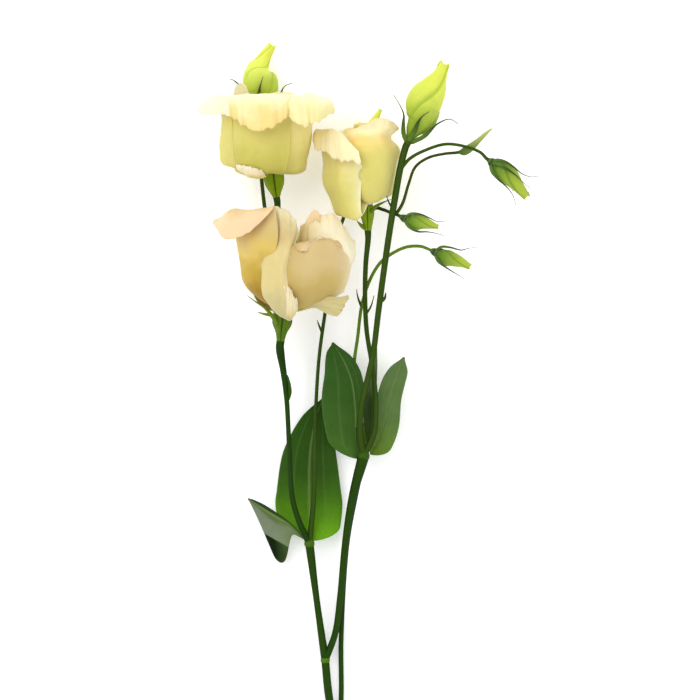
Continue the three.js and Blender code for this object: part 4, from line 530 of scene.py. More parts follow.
# Stems: places on the way, radii at even steps, and the bloom or bud at the end
STEMS = (
    ((CUT_END, LOWEST_JOINT, (-21.4, -160, 3.8), FORK), (2.2, 2.1, 2.2, 2.2), None),
    ((FORK, (-28.4, -105, 8.5), LEFT_NODE), (2.2, 1.8, 2.4), None),
    ((FORK, (-18.2, -124.5, 7.4), (-15.4, -105, 9.6), (-12.6, -75, 13), (-8.8, -50, 16), RIGHT_NODE),
     (2, 1.8, 1.8, 1.9, 2.2, 3.2), None),
    ((LOWEST_JOINT, (-14.8, -160, 1.9), (-14.8, -127, 3.3), (-11.6, -75, 8.8), (-7.2, -50, 11.8),
      RIGHT_NODE), (1.6, 1.4, 1.4, 1.4, 1.4, 1.8), None),
    ((LEFT_NODE, (-38, -62, 15.4), (-41.8, -48.5, 17), (-43.6, -17.5, 18), (-44.8, 5, 18.4), TWIN_JOINT),
     (1.9, 1.6, 1.5, 1.3, 1.4, 1.8, 2.2, 2.3), "bloom_front"),
    ((TWIN_JOINT, (-48.6, 42, 13.2), BACK_BUD_JOINT, (-50.3, 84, 12), (-51, 99, 16.2)),
     (1.7, 1.6, 1.6, 1.7, 2), "bloom_left"),
    ((BACK_BUD_JOINT, (-53.5, 90, 8.6), (-56.6, 108, 6.2), (-58.8, 127, 4.4), (-60.4, 150, 5)),
     (1.3, 1.1, 1.1, 1.1, 1.2), "bud_back_left"),
    ((LEFT_NODE, (-30, -50, 13), (-29.3, -20, 12.6), (-28.6, 4, 12), (-27, 28, 11), (-24.4, 48, 9.6),
      (-20, 76, 7.4), (-15.9, 98, 6.2), (-9, 116, 4.6)), (1.6, 1.2, 1, 1, 1, 1, 1.1), "bud_hidden"),
    ((RIGHT_NODE, (-1.8, -20, 14), (-3.4, -10, 12.4), (-6.4, 5, 12), (-7.6, 24, 12.4), (-5.6, 40, 13.8),
      (-3.4, 57, 15.4), (0.6, 70, 17), (6.6, 80.3, 19.4), (14, 86, 21.6), (21.5, 89.2, 23.4),
      (29, 89.5, 24.6)), (1.5, 1.1, 0.95, 0.95, 0.9, 0.8), "bud_small_lower"),
    ((RIGHT_NODE, (3.1, -14, 19.6), (4.4, 0, 20), (3.8, 12, 20.4), (2, 26, 20.8), (-0.6, 42, 21.4),
      (-1.6, 60, 22.2), (-1.2, 80, 23.4)), (1.9, 1.5, 1.3, 1.3, 1.4, 1.9), "bloom_middle"),
    ((RIGHT_NODE, (-4.4, -14, 22), (-3.8, 0, 24.4), (-1.6, 11, 26.2), (2.6, 29, 28.6), (5.8, 54, 31.6),
      (9, 78, 34.6), (12.2, 100, 37.4), (15, 117, 39.4), (17.6, 132, 40.2)),
     (2, 1.6, 1.6, 1.7, 1.8, 1.9, 2), "bud_tall"),
    (((17.4, 131, 40.2), (23, 137.5, 41.5), (32, 142.3, 42.6), (43, 145.4, 43.2), (55, 143.6, 43),
      (62, 140.6, 42.4)), (1, 0.9, 0.85, 0.9, 1.1), "bud_droop"),
    ((TWIG_JOINT, (19, 113, 36.6), (22.4, 124, 36), (26, 133, 36.2), (33, 138, 36.8), (42, 140.2, 37.6)),
     (1, 0.85, 0.8, 0.8, 0.9), "bud_young"),
    (((0.2, 91, 23.6), (0.4, 97, 19), (0.8, 104.6, 18.4), (3.6, 110.4, 21), (8.6, 109.6, 27),
      (13.6, 107.4, 33.4)), (0.9, 0.85, 1, 0.85, 1), "bud_small_upper"),
)

# Radius from which a stem is stout, with the sides of a stout and of a slim stem
STOUT = 1.5
STEM_SIDES = (14, 10)

# Rings of a stem from one place on its way to the next, its ribs, and how much painted shade darkens its
# sides below its top
STEM_RINGS = 12
STEM_RIBS = 0.03
STEM_SIDE_SHADE = 0.6

# How much lighter or darker a stem is than its material, by what it carries: red, green, blue and one
PLAIN = (1, 1, 1, 1)
STEM_TONE = (1.2, 0.95, 1.1, 1)
TWIG_TONES = {
    None: (0.55, 0.7, 0.1, 1),
    "bloom_front": (0.5, 0.62, 0.4, 1),
    "bud_small_lower": (4, 2.9, 2.4, 1),
    "bud_droop": (1.4, 1.05, 0.5, 1),
    "bud_young": (1.3, 0.85, 0.8, 1),
}

# Swellings where stems join: place, radius and tone
SWELLINGS = (
    (FORK, 2.6, (2.4, 2, 1.6, 1)),
    (LEFT_NODE, 2.9, (1.8, 1.6, 1.2, 1)),
    (RIGHT_NODE, 3.4, (1.2, 1.1, 0.9, 1)),
)

# Small bracts and pointed scales on the stems: places on the way and radii at even steps
BRACTS = (
    (((-44.6, 18.6, 19), (-43.4, 14, 19.4), (-43, 9, 19.2), (-43.6, 5, 18.6)), (0.5, 0.8, 1, 0.5)),
    (((-25.2, 42, 10.4), (-27, 46, 11.2), (-28, 49, 11.8)), (0.8, 0.5, 0.2)),
    (((-3.4, 56, 15.4), (-5.4, 61, 16.4), (-6.4, 66, 17)), (0.8, 0.5, 0.2)),
    (((-1.4, 52, 21.8), (1.4, 56, 22.4), (3.4, 62.5, 23)), (0.8, 0.5, 0.2)),
    (((7.2, 59, 32.4), (9.2, 61, 32.8), (9.8, 64, 33.2)), (1, 0.8, 0.3)),
    (((12.8, 111, 38.4), (11.2, 114, 38.8), (10.2, 117, 39)), (0.6, 0.45, 0.2)),
    (((-16, 96, 6.3), (-14.6, 98.6, 6.5), (-15.2, 101.6, 6.4)), (1.2, 1.7, 1)),
)


# Curves

def along(values, u):
    """Reads values listed at even steps, smoothly between them and a little past the last."""
    place = max(u, 0) * (len(values) - 1)
    i = min(int(place), len(values) - 2)
    f = place - i
    a = values[i]
    b = values[i + 1]
    slope_in = (b - values[max(i - 1, 0)]) / 2
    slope_out = (values[min(i + 2, len(values) - 1)] - a) / 2
    f2 = f * f
    f3 = f2 * f
    return ((2 * f3 - 3 * f2 + 1) * a + (f3 - 2 * f2 + f) * slope_in
            + (3 * f2 - 2 * f3) * b + (f3 - f2) * slope_out)


def on_curve(places, u):
    """Point at the share u of a smooth curve through places."""
    points = [Vector(place) for place in places]
    last = len(points) - 1
    where = min(max(u, 0), 1) * last
    i = min(int(where), last - 1)
    f = where - i
    p1 = points[i]
    p2 = points[i + 1]
    p0 = points[i - 1] if i > 0 else 2 * p1 - p2
    p3 = points[i + 2] if i + 2 <= last else 2 * p2 - p1
    least = 1e-6
    d0 = max((p1 - p0).length, least) ** 0.5
    d1 = max((p2 - p1).length, least) ** 0.5
    d2 = max((p3 - p2).length, least) ** 0.5
    m1 = ((p1 - p0) / d0 - (p2 - p0) / (d0 + d1) + (p2 - p1) / d1) * d1
    m2 = ((p2 - p1) / d1 - (p3 - p1) / (d1 + d2) + (p3 - p2) / d2) * d1
    f2 = f * f
    f3 = f2 * f
    return (2 * f3 - 3 * f2 + 1) * p1 + (f3 - 2 * f2 + f) * m1 + (3 * f2 - 2 * f3) * p2 + (f3 - f2) * m2


def heading(places, u):
    """Direction of the curve at the share u."""
    step = 0.001
    return (on_curve(places, min(u + step, 1)) - on_curve(places, max(u - step, 0))).normalized()


def round_about(centre, tangent, angle, radius):
    """Point at an angle round a route, in the plane across it, with angle 0 as far up as it can be."""
    up = Vector((0, 0, 1))
    across = (up - tangent * up.dot(tangent)).normalized()
    aside = tangent.cross(across)
    return centre + across * (radius * math.cos(angle)) + aside * (radius * math.sin(angle))


def full_turn(sides, point_at):
    """Points at even angles round a full turn."""
    return [point_at(2 * math.pi * j / sides) for j in range(sides)]


def facing(points, i, j):
    """Direction that a grid of points faces at one of them."""
    rows = len(points)
    columns = len(points[0])
    forward = points[min(i + 1, rows - 1)][j] - points[max(i - 1, 0)][j]
    aside = points[i][min(j + 1, columns - 1)] - points[i][max(j - 1, 0)]
    return aside.cross(forward).normalized()


# Colours

def srgb(red, green, blue):
    """Colour from 0 to 255 as the shader reads it."""
    def linear(value):
        value /= 255
        return value / 12.92 if value <= 0.04045 else ((value + 0.055) / 1.055) ** 2.4
    return (linear(red), linear(green), linear(blue), 1.0)


def tone_at(tones, reach, point, rims, across):
    """Colour at a place on a petal, with soft uneven borders between its tones and at its side margins."""
    drift = sum(share * noise.noise(point * fineness) for share, fineness in TONE_DRIFT)
    place = min(max(reach + drift, 0), 1) * (len(tones) - 1)
    i = min(int(place), len(tones) - 2)
    share = place - i
    share *= share * (3 - 2 * share)
    mixed = [a + (b - a) * share for a, b in zip(TONES[tones[i]], TONES[tones[i + 1]])]
    if rims:
        weight = RIM_SHARE * min(max(abs(across) + drift, 0), 1) ** 3
        mixed = [a + (b - a) * weight for a, b in zip(mixed, TONES[rims[0 if across < 0 else 1]])]
    return srgb(*mixed)


# Meshes

class Body:
    """Gathers the faces of one piece, with the values that its materials read at each vertex."""

    def __init__(self):
        self.vertices = []
        self.faces = []
        self.values = {"reach": [], "across": [], "crease_shade": []}
        self.tones = []

    def add(self, point, reach, across, tone):
        """Adds a vertex and returns its number."""
        self.vertices.append(point)
        self.values["reach"].append(reach)
        self.values["across"].append(across)
        self.values["crease_shade"].append(0.0)
        self.tones.extend(tone)
        return len(self.vertices) - 1

    def paint_crease_shade(self, crease_shades):
        """Sets how much painted shade darkens the first vertices in their seams and furrows."""
        self.values["crease_shade"][:len(crease_shades)] = crease_shades

    def keep_above_table(self):
        """Raises what would dip into the table to just above it."""
        for point in self.vertices:
            point.z = max(point.z, FLOOR_GAP)

    def tube(self, rings, tone=PLAIN, side_shade=0.0):
        """Skin over rings of points, with closed ends, and with painted shade that darkens its sides below
        its top by a share.
        """
        sides = len(rings[0])
        steps = len(rings) - 1
        ids = []
        for i, ring in enumerate(rings):
            middle = sum(ring, Vector()) / sides
            line = []
            for j, point in enumerate(ring):
                # Painted shade: the tone is darkened where the skin faces sideways, and kept full where it
                # faces up
                light = 1 - side_shade + side_shade * max((point - middle).normalized().z, 0)
                shaded_tone = [value * light for value in tone[:3]] + [1]
                line.append(self.add(point, i / steps, j / sides, shaded_tone))
            ids.append(line)
        for i in range(steps):
            for j in range(sides):
                k = (j + 1) % sides
                self.faces.append((ids[i][j], ids[i][k], ids[i + 1][k], ids[i + 1][j]))
        self.faces.append(tuple(reversed(ids[0])))
        self.faces.append(tuple(ids[-1]))

    def rod(self, route, radii, sides, steps, ribs=0.0, tone=PLAIN, side_shade=0.0):
        """Tapered rod through places, with four faint ribs along it."""
        rings = []
        for i in range(steps + 1):
            centre = on_curve(route, i / steps)
            tangent = heading(route, i / steps)
            radius = along(radii, i / steps)
            rings.append(full_turn(sides, lambda angle: round_about(
                centre, tangent, angle, radius * (1 + ribs * math.cos(4 * angle)))))
        self.tube(rings, tone, side_shade)

    def blade(self, grid, thickness, taper=0.5, tones=("straw", "straw"), rims=None):
        """Thin blade over a grid of (point, reach, across), thinner towards its margin by a share."""
        points = [[place[0] for place in line] for line in grid]
        sheets = []
        for half in (0.5, -0.5):
            sheet = []
            for i, line in enumerate(grid):
                ids = []
                for j, (point, reach, across) in enumerate(line):
                    offset = half * thickness * (1 - taper * edge_share(reach, across))
                    tone = tone_at(tones, reach, point, rims, across)
                    ids.append(self.add(point + facing(points, i, j) * offset, reach, across, tone))
                sheet.append(ids)
            sheets.append(sheet)
        top, under = sheets
        for i in range(len(grid) - 1):
            for j in range(len(grid[0]) - 1):
                self.faces.append((top[i][j], top[i][j + 1], top[i + 1][j + 1], top[i + 1][j]))
                self.faces.append((under[i][j], under[i + 1][j], under[i + 1][j + 1], under[i][j + 1]))
            self.faces.append((top[i][0], top[i + 1][0], under[i + 1][0], under[i][0]))
            self.faces.append((top[i + 1][-1], top[i][-1], under[i][-1], under[i + 1][-1]))
        for j in range(len(grid[0]) - 1):
            self.faces.append((top[0][j + 1], top[0][j], under[0][j], under[0][j + 1]))
            self.faces.append((top[-1][j], top[-1][j + 1], under[-1][j + 1], under[-1][j]))

    def to_object(self, node, material):
        """Makes the piece, and lets it stand for its node of the frame."""
        mesh = bpy.data.meshes.new(node)
        mesh.from_pydata([tuple(v * MM) for v in self.vertices], [], self.faces)
        mesh.polygons.foreach_set("use_smooth", [True] * len(self.faces))
        for key, numbers in self.values.items():
            mesh.attributes.new(key, "FLOAT", "POINT").data.foreach_set("value", numbers)
        mesh.attributes.new("tone", "FLOAT_COLOR", "POINT").data.foreach_set("color", self.tones)
        mesh.materials.append(material)
        mesh.update()
        piece = bpy.data.objects.new(node, mesh)
        bpy.context.scene.collection.objects.link(piece)
        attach(piece, "root")
        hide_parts(node)


def edge_share(reach, across):
    """How near the margin of a blade a place is, from 0 over most of it to 1 at the margin."""
    return max(abs(across) ** 6, max(reach, 0) ** 6)


# Shader helpers

# Nodes are laid out in rows, a space apart
NODES_IN_ROW = 6
NODE_SPACE = 220

# Sockets of a mix node on colours
MIX_FACTOR = 0
MIX_FIRST = 6
MIX_SECOND = 7
MIX_RESULT = 2


def feed(tree, node, inputs):
    """Links the sockets among the values to their inputs, and makes the other values the inputs' defaults."""
    for key, value in inputs.items():
        if isinstance(value, bpy.types.NodeSocket):
            tree.links.new(value, node.inputs[key])
        else:
            node.inputs[key].default_value = value


def add_node(tree, kind, inputs, **settings):
    """Adds a node in the next free place, with its settings and inputs."""
    node = tree.nodes.new(kind)
    row, column = divmod(len(tree.nodes), NODES_IN_ROW)
    node.location = (NODE_SPACE * (column - NODES_IN_ROW), -NODE_SPACE * row)
    for key, value in settings.items():
        setattr(node, key, value)
    feed(tree, node, inputs)
    return node


def calculate(tree, operation, *values):
    """Math node on numbers or sockets."""
    return add_node(tree, "ShaderNodeMath", dict(enumerate(values)), operation=operation).outputs[0]


def blend_colours(tree, factor, first, second, mode="MIX"):
    """Mix node on colours or sockets."""
    sockets = {MIX_FACTOR: factor, MIX_FIRST: first, MIX_SECOND: second}
    return add_node(tree, "ShaderNodeMix", sockets, data_type="RGBA", blend_type=mode).outputs[MIX_RESULT]


def read(tree, name, output="Fac"):
    """Value of the piece at each vertex."""
    return add_node(tree, "ShaderNodeAttribute", {}, attribute_name=name).outputs[output]


def place_on_piece(tree):
    """Place on the surface, in the object's own frame."""
    return add_node(tree, "ShaderNodeTexCoord", {}).outputs["Object"]


def ramp(tree, factor, stops):
    """Colours at places from 0 to 1."""
    node = add_node(tree, "ShaderNodeValToRGB", {"Fac": factor})
    node.color_ramp.interpolation = "B_SPLINE"
    while len(node.color_ramp.elements) < len(stops):
        node.color_ramp.elements.new(0.5)
    for element, (place, colour) in zip(node.color_ramp.elements, stops):
        element.position = place
        element.color = colour
    return node.outputs["Color"]


def new_group(name, inputs, outputs):
    """Shader group with named sockets, whose inputs have defaults; a colour's default has four numbers."""
    group = bpy.data.node_groups.new(name, "ShaderNodeTree")
    for label, default in inputs.items():
        kind = "NodeSocketFloat" if isinstance(default, float) else "NodeSocketColor"
        group.interface.new_socket(name=label, in_out="INPUT", socket_type=kind).default_value = default
    for label, kind in outputs.items():
        group.interface.new_socket(name=label, in_out="OUTPUT", socket_type=kind)
    start = group.nodes.new("NodeGroupInput")
    start.location.x = -NODE_SPACE * (NODES_IN_ROW + 1)
    return group, start.outputs, group.nodes.new("NodeGroupOutput")


def use_group(tree, name, inputs):
    """Outputs of a shader group placed in a material."""
    return add_node(tree, "ShaderNodeGroup", inputs, node_tree=bpy.data.node_groups[name]).outputs


def group_mottle():
    """Soft uneven colour, as in any living tissue."""
    group, start, end = new_group("Mottle", {"Color": (1, 1, 1, 1), "Scale": 90.0, "Amount": 0.1},
                                  {"Color": "NodeSocketColor"})
    cloud = add_node(group, "ShaderNodeTexNoise", {"Vector": place_on_piece(group), "Scale": start["Scale"],
                                                   "Detail": 4.0, "Roughness": 0.6})
    shift = calculate(group, "SUBTRACT", cloud.outputs["Fac"], 0.5)
    shift = calculate(group, "MULTIPLY", shift, start["Amount"])
    light = calculate(group, "MULTIPLY_ADD", shift, 2.0, 1.0)
    grey = add_node(group, "ShaderNodeCombineColor", {"Red": light, "Green": light, "Blue": light})
    colour = blend_colours(group, 1.0, start["Color"], grey.outputs["Color"], "MULTIPLY")
    feed(group, end, {"Color": colour})


def group_fine_veins():
    """Hair-fine lines that run from the root of a petal to its margin."""
    group, start, end = new_group("Fine Veins", {"Across": 0.0, "Reach": 0.0, "Count": 30.0},
                                  {"Height": "NodeSocketFloat"})
    across = calculate(group, "MULTIPLY", start["Across"], start["Count"])
    lengthwise = calculate(group, "MULTIPLY", start["Reach"], 3.0)
    place = add_node(group, "ShaderNodeCombineXYZ", {"X": across, "Y": lengthwise})
    lines = add_node(group, "ShaderNodeTexNoise", {"Vector": place.outputs[0], "Scale": 1.0, "Detail": 3.0})
    feed(group, end, {"Height": lines.outputs["Fac"]})


def group_ribs():
    """Pale veins along a leaf and its midrib, from the share of the way across."""
    group, start, end = new_group("Leaf Ribs", {"Across": 0.0, "Side Veins": 2.0, "Width": 0.05},
                                  {"Ribs": "NodeSocketFloat", "Midrib": "NodeSocketFloat"})

    def line_mask(distance, width):
        """1 on the middle of a line and 0 beyond its width."""
        share = calculate(group, "DIVIDE", distance, width)
        return calculate(group, "MAXIMUM", calculate(group, "SUBTRACT", 1.0, share), 0.0)

    aside = calculate(group, "ABSOLUTE", start["Across"])
    turns = calculate(group, "MULTIPLY", aside, start["Side Veins"])
    beside = calculate(group, "PINGPONG", turns, 0.5)
    thin = calculate(group, "MULTIPLY", start["Width"], start["Side Veins"])
    feed(group, end, {"Ribs": line_mask(beside, thin), "Midrib": line_mask(aside, start["Width"])})


# Materials

def new_material(name, roughness, specular, glow=0.0, glow_depth=0.001, glow_colours=None):
    """Material with a Principled shader, and its tree; glow is the share of the light that passes through."""
    material = bpy.data.materials.new(name)
    material.use_nodes = True
    tree = material.node_tree
    shader = tree.nodes["Principled BSDF"]
    feed(tree, shader, {"Roughness": roughness, "Specular IOR Level": specular,
                        "Subsurface Weight": glow, "Subsurface Scale": glow_depth})
    if glow_colours:
        shader.inputs["Subsurface Radius"].default_value = glow_colours
    return material, tree, shader


def raised(tree, height, strength, distance=0.0004):
    """Normal of a surface that is raised by a height."""
    bump = add_node(tree, "ShaderNodeBump", {"Height": height, "Strength": strength, "Distance": distance})
    return bump.outputs["Normal"]


def mottled(tree, colour, scale, amount):
    """Colour with soft uneven spots of a size and a strength."""
    return use_group(tree, "Mottle", {"Color": colour, "Scale": scale, "Amount": amount})["Color"]


def fine_veins(tree, count):
    """Height of fine veins along the piece, by how many run across it."""
    sockets = {"Across": read(tree, "across"), "Reach": read(tree, "reach"), "Count": count}
    return use_group(tree, "Fine Veins", sockets)["Height"]


def petal_material(name):
    """Thin ruffled petal, with fine veins and a soft light that passes through it."""
    material, tree, shader = new_material(name, roughness=0.66, specular=0.2, glow=0.25, glow_depth=0.002,
                                          glow_colours=(1.0, 0.8, 0.5))
    colour = mottled(tree, read(tree, "tone", "Color"), scale=140.0, amount=0.06)
    normal = raised(tree, fine_veins(tree, count=26.0), strength=0.2, distance=0.0005)
    feed(tree, shader, {"Base Color": colour, "Sheen Weight": 0.1, "Normal": normal})
    return material


def leaf_material(name, colour, rib_colour, bloom_colour, foot_colour, fold):
    """Waxy leaf with pale parallel veins, yellower at its foot; a folded leaf has bands and a dark lobe."""
    material, tree, shader = new_material(name, roughness=0.55, specular=0.1, glow=0.08)
    across = read(tree, "across")
    wax = add_node(tree, "ShaderNodeTexNoise", {"Vector": place_on_piece(tree), "Scale": 35.0, "Detail": 3.0,
                                                "Roughness": 0.55})
    waxy = blend_colours(tree, wax.outputs["Fac"], colour, bloom_colour)
    if fold:
        waxy = ramp(tree, calculate(tree, "MULTIPLY_ADD", across, 0.5, 0.5), fold["bands"])
        place = add_node(tree, "ShaderNodeSeparateXYZ", {"Vector": place_on_piece(tree)})
        level = calculate(tree, "MULTIPLY_ADD", place.outputs["X"], fold["slope"], place.outputs["Y"])
        below = calculate(tree, "MULTIPLY_ADD", level, -1 / fold["blur"], fold["level"] / fold["blur"])
        waxy = blend_colours(tree, below, waxy, fold["lobe"])
    foot = calculate(tree, "MULTIPLY_ADD", read(tree, "reach"), -2.2, 1.1)
    grown = blend_colours(tree, foot, waxy, foot_colour)
    ribs = use_group(tree, "Leaf Ribs", {"Across": across, "Side Veins": 2.0, "Width": 0.07})
    side = calculate(tree, "MULTIPLY", ribs["Ribs"], 0.14)
    veined = blend_colours(tree, side, mottled(tree, grown, scale=160.0, amount=0.22), rib_colour)
    middle = calculate(tree, "MULTIPLY", ribs["Midrib"], 0.5)
    height = calculate(tree, "MULTIPLY_ADD", ribs["Ribs"], -0.6, fine_veins(tree, count=40.0))
    feed(tree, shader, {"Base Color": blend_colours(tree, middle, veined, rib_colour),
                        "Normal": raised(tree, height, strength=0.5, distance=0.0005)})
    return material


def stem_material(name, colour, light_colour, roughness=0.5):
    """Smooth green stem with pale lengthwise streaks, and painted shade in its seams."""
    material, tree, shader = new_material(name, roughness, specular=0.08, glow=0.06)
    streaks = fine_veins(tree, count=14.0)
    mixed = blend_colours(tree, streaks, colour, light_colour)
    toned = blend_colours(tree, 1.0, mixed, read(tree, "tone", "Color"), "MULTIPLY")
    spotted = mottled(tree, toned, scale=120.0, amount=0.2)
    # Painted shade in seams and furrows, mixed in by the stored shade value
    seam_shaded = blend_colours(tree, read(tree, "crease_shade"), spotted, bpy.context.scene.lisianthus_colours.seam)
    feed(tree, shader, {"Base Color": seam_shaded, "Normal": raised(tree, streaks, strength=0.3)})
    return material


def bud_material(name, low, high, tip):
    """Rolled bud: green at its foot, yellow-green above, with painted shade in the furrows between the
    petals.
    """
    material, tree, shader = new_material(name, roughness=0.55, specular=0.3, glow=0.15, glow_depth=0.002,
                                          glow_colours=(0.8, 1.0, 0.3))
    colour = ramp(tree, read(tree, "reach"), ((0.0, low), (0.22, low), (0.5, high), (0.8, tip), (1.0, tip)))
    # Painted shade: the furrows are mixed towards the dark foot colour
    darker = blend_colours(tree, read(tree, "crease_shade"), colour, low)
    feed(tree, shader, {"Base Color": mottled(tree, darker, scale=150.0, amount=0.12),
                        "Normal": raised(tree, fine_veins(tree, count=50.0), strength=0.3)})
    return material


def sepal_material(name, low, high, tip):
    """Slim sepal: bright green at its foot, dark along its length and greyish at its tip."""
    material, tree, shader = new_material(name, roughness=0.5, specular=0.22, glow=0.08)
    colour = ramp(tree, read(tree, "reach"), ((0.0, low), (0.2, low), (0.45, high), (0.75, high), (1.0, tip)))
    feed(tree, shader, {"Base Color": mottled(tree, colour, scale=150.0, amount=0.2)})
    return material


def table_material():
    """White table with a faint glow of its own, as a light table has."""
    material, tree, shader = new_material("Pale Table", roughness=0.8, specular=0.1)
    feed(tree, shader, {"Base Color": mottled(tree, srgb(252, 252, 252), scale=3.0, amount=0.01),
                        "Emission Color": (1, 1, 1, 1), "Emission Strength": 0.3})
    return material


# Blooms

def bloom_place(bloom):
    """Function that gives a place round a bloom's axis from radius, azimuth and height."""
    origin = Vector(bloom["base"])
    up = Vector(bloom["axis"]).normalized()
    front = (Vector((0, 0, 1)) - up * up.z).normalized()
    right = up.cross(front)
    return lambda radius, azimuth, height: (
        origin + up * height + front * (radius * math.cos(azimuth)) + right * (radius * math.sin(azimuth)))


def margin(u, t, seed):
    """How far up a petal a place lies, once its margin is cut into soft lobes and its corners are round."""
    lobes = sum(depth * noise.noise(Vector((count * t, seed, layer))) for depth, count, layer in LOBES)
    return u * (1 - (RIM_CUT + CORNER_CUT * abs(t) ** 4 - lobes) * u ** 5)


def net_points(base, net, cells, seed):
    """Smooth sheet through a net of places, in rows from root to margin and each row from left to right."""
    rows, columns = cells
    lines = []
    for j in range(columns + 1):
        t = 2 * j / columns - 1
        ways = [[along([place[k] for place in row], j / columns) for row in net] for k in range(3)]
        reaches = [margin(i / rows, t, seed) for i in range(rows + 1)]
        lines.append([base + Vector([along(way, reach) for way in ways]) for reach in reaches])
    return list(zip(*lines))


def round_points(place, petal, cells, seed):
    """Sheet that follows a petal's radius, height and width round the bloom's axis."""
    rows, columns = cells
    step = 0.02

    def change(key, reach):
        return along(petal[key], reach + step) - along(petal[key], reach - step)

    def point_at(u, t):
        reach = margin(u, t, seed)
        out = change("radius", reach)
        rise = change("height", reach)
        size = math.hypot(out, rise)
        radius = max(along(petal["radius"], reach) + PETAL_SPIRAL * t * rise / size, 0.5)
        height = along(petal["height"], reach) - PETAL_SPIRAL * t * out / size
        turn = along(petal["width"], reach) * t / math.hypot(radius, ROOT_CURVE)
        return place(radius, math.radians(petal["az"]) + turn, height)

    return [[point_at(i / rows, 2 * j / columns - 1) for j in range(columns + 1)] for i in range(rows + 1)]


def crease(kind, u, t, seed):
    """Height of one kind of crease at a place of a petal."""
    height, count, length, layer = kind
    return height * noise.noise(Vector((count * t, length * u, seed + layer)))


def ruffled(points, seed, frill):
    """Adds soft lengthwise folds to a grid of points, and frills that grow towards its margins."""
    grid = []
    for i, row in enumerate(points):
        u = i / (len(points) - 1)
        line = []
        for j, point in enumerate(row):
            t = 2 * j / (len(row) - 1) - 1
            edge = max(u ** 6, 0.5 * abs(t) ** 8 * u)
            swell = math.sin(math.pi * min(1.2 * u, 1))
            fold = swell * crease(FOLDS, u, t, seed)
            wave = u ** 3 * crease(WAVES, u, t, seed)
            frills = edge * sum(crease(kind, u, t, seed) for kind in FRILLS)
            line.append((point + facing(points, i, j) * (fold + frill * (wave + frills)), u, t))
        grid.append(line)
    return grid


def outward_route(place, azimuth, foot, pairs):
    """Places at one azimuth of a bloom, from pairs of radius and height above a foot."""
    return [place(radius, azimuth, foot + height) for radius, height in pairs]


def turned(body, place, profile, sides):
    """Skin turned round a bloom's axis through pairs of radius and height, from the bottom up."""
    body.tube([full_turn(sides, lambda angle: place(radius, angle, height)) for radius, height in profile])


def build_petals(name, bloom, material, sizes):
    """Petals in front, petals behind, inner whorl and the receptacle that they all grow from."""
    body = Body()
    base = Vector(bloom["base"])
    place = bloom_place(bloom)
    petals = []
    for number, sheet in enumerate(bloom["sheets"]):
        seed = base.x + number
        petals.append((sheet, seed, net_points(base, sheet["net"], FRONT_CELLS, seed)))
    for number, petal in enumerate(bloom["petals"]):
        seed = base.x + BACK_SEED + number
        petals.append((petal, seed, round_points(place, petal, BACK_CELLS, seed)))
    inner = bloom["inner"]
    for number in range(inner["count"]):
        petal = {**inner, "az": inner["start"] + 360 / inner["count"] * number}
        seed = base.x + INNER_SEED + number
        petals.append((petal, seed, round_points(place, petal, INNER_CELLS, seed)))
    for petal, seed, points in petals:
        grid = ruffled(points, seed, sizes.frill * petal.get("frill", 1))
        body.blade(grid, sizes.petal_thickness / MM, tones=petal.get("tones", bloom["tones"]),
                   rims=petal.get("rims"))
    receptacle = ((3.2, CLEARANCE - BLOOM_SEAT), (3.8, 0.2), (3.9, 3), (3.6, RECEPTACLE_TOP))
    turned(body, place, receptacle, sides=20)
    body.to_object(name, material)


def build_calyx(name, bloom, material):
    """Green cup under the petals with five seams that carry painted shade, and slim sepals that show beside
    it.
    """
    body = Body()
    place = bloom_place(bloom)
    depth = bloom["calyx_depth"]
    top = -BLOOM_SEAT
    steps, sides = CALYX_CELLS
    shares = [(5 * j / sides) % 1 for j in range(sides)]
    seams = [max(0.0, 1 - min(share, 1 - share) * SEAM_NARROW) for share in shares]
    body.tube([[place(along(bloom["calyx"], i / steps) * (1 - SEAM_DEPTH * seam), 2 * math.pi * j / sides,
                      top - depth * (1 - i / steps)) for j, seam in enumerate(seams)]
               for i in range(steps + 1)], bloom["calyx_tone"])
    # Painted shade in the five seams of the cup
    body.paint_crease_shade(seams * (steps + 1))
    spread = ((3.5, -1.2), (8, -1.8), (13, -2.2), (17, -2))
    for degrees in bloom["sepals"]:
        route = outward_route(place, math.radians(degrees), top, spread)
        body.rod(route, (1.1, 1, 0.6, 0.2), sides=8, steps=14)
    for places in bloom["hugging"]:
        route = [Vector(bloom["base"]) + Vector(point) for point in places]
        body.rod(route, (1, 1.1, 0.8, 0.4, 0.15), sides=8, steps=24)
    body.to_object(name, material)


def build_stamens(name, bloom, material):
    """Ring of five slender filaments with yellow anthers."""
    body = Body()
    place = bloom_place(bloom)
    foot = RECEPTACLE_TOP + CLEARANCE
    ring = ((2, foot), (3, foot), (3.2, foot + 1.6), (2.2, foot + 1.6))
    turned(body, place, ring, sides=24)
    filament = ((2.5, 0.8), (4.6, 6.5), (6.2, 11.4), (6.4, 12.4))
    anther = ((6.2, 12), (6.6, 14.5), (6.9, 17))
    for number in range(5):
        azimuth = 2 * math.pi * (number + 0.5) / 5
        body.rod(outward_route(place, azimuth, foot, filament), (0.4, 0.35, 0.3), sides=8, steps=12)
        body.rod(outward_route(place, azimuth, foot, anther), (0.3, 1, 1.1, 0.9, 0.3), sides=10, steps=10)
    body.to_object(name, material)


def build_pistil(name, bloom, material):
    """Green ovary, style and two-lobed stigma."""
    body = Body()
    place = bloom_place(bloom)
    foot = RECEPTACLE_TOP + CLEARANCE
    ovary = ((1.2, 0), (1.5, 2.4), (2.3, 4), (2.6, 6), (2.5, 8), (1.7, 10.4), (0.9, 12), (0.7, 17))
    turned(body, place, [(radius, foot + height) for radius, height in ovary], sides=20)
    lobe = ((0, 16), (1.4, 18), (2.6, 18.6))
    for azimuth in (0.5, 0.5 + math.pi):
        body.rod(outward_route(place, azimuth, foot, lobe), (0.7, 1.3, 1.3, 0.5), sides=10, steps=8)
    body.to_object(name, material)


# Buds

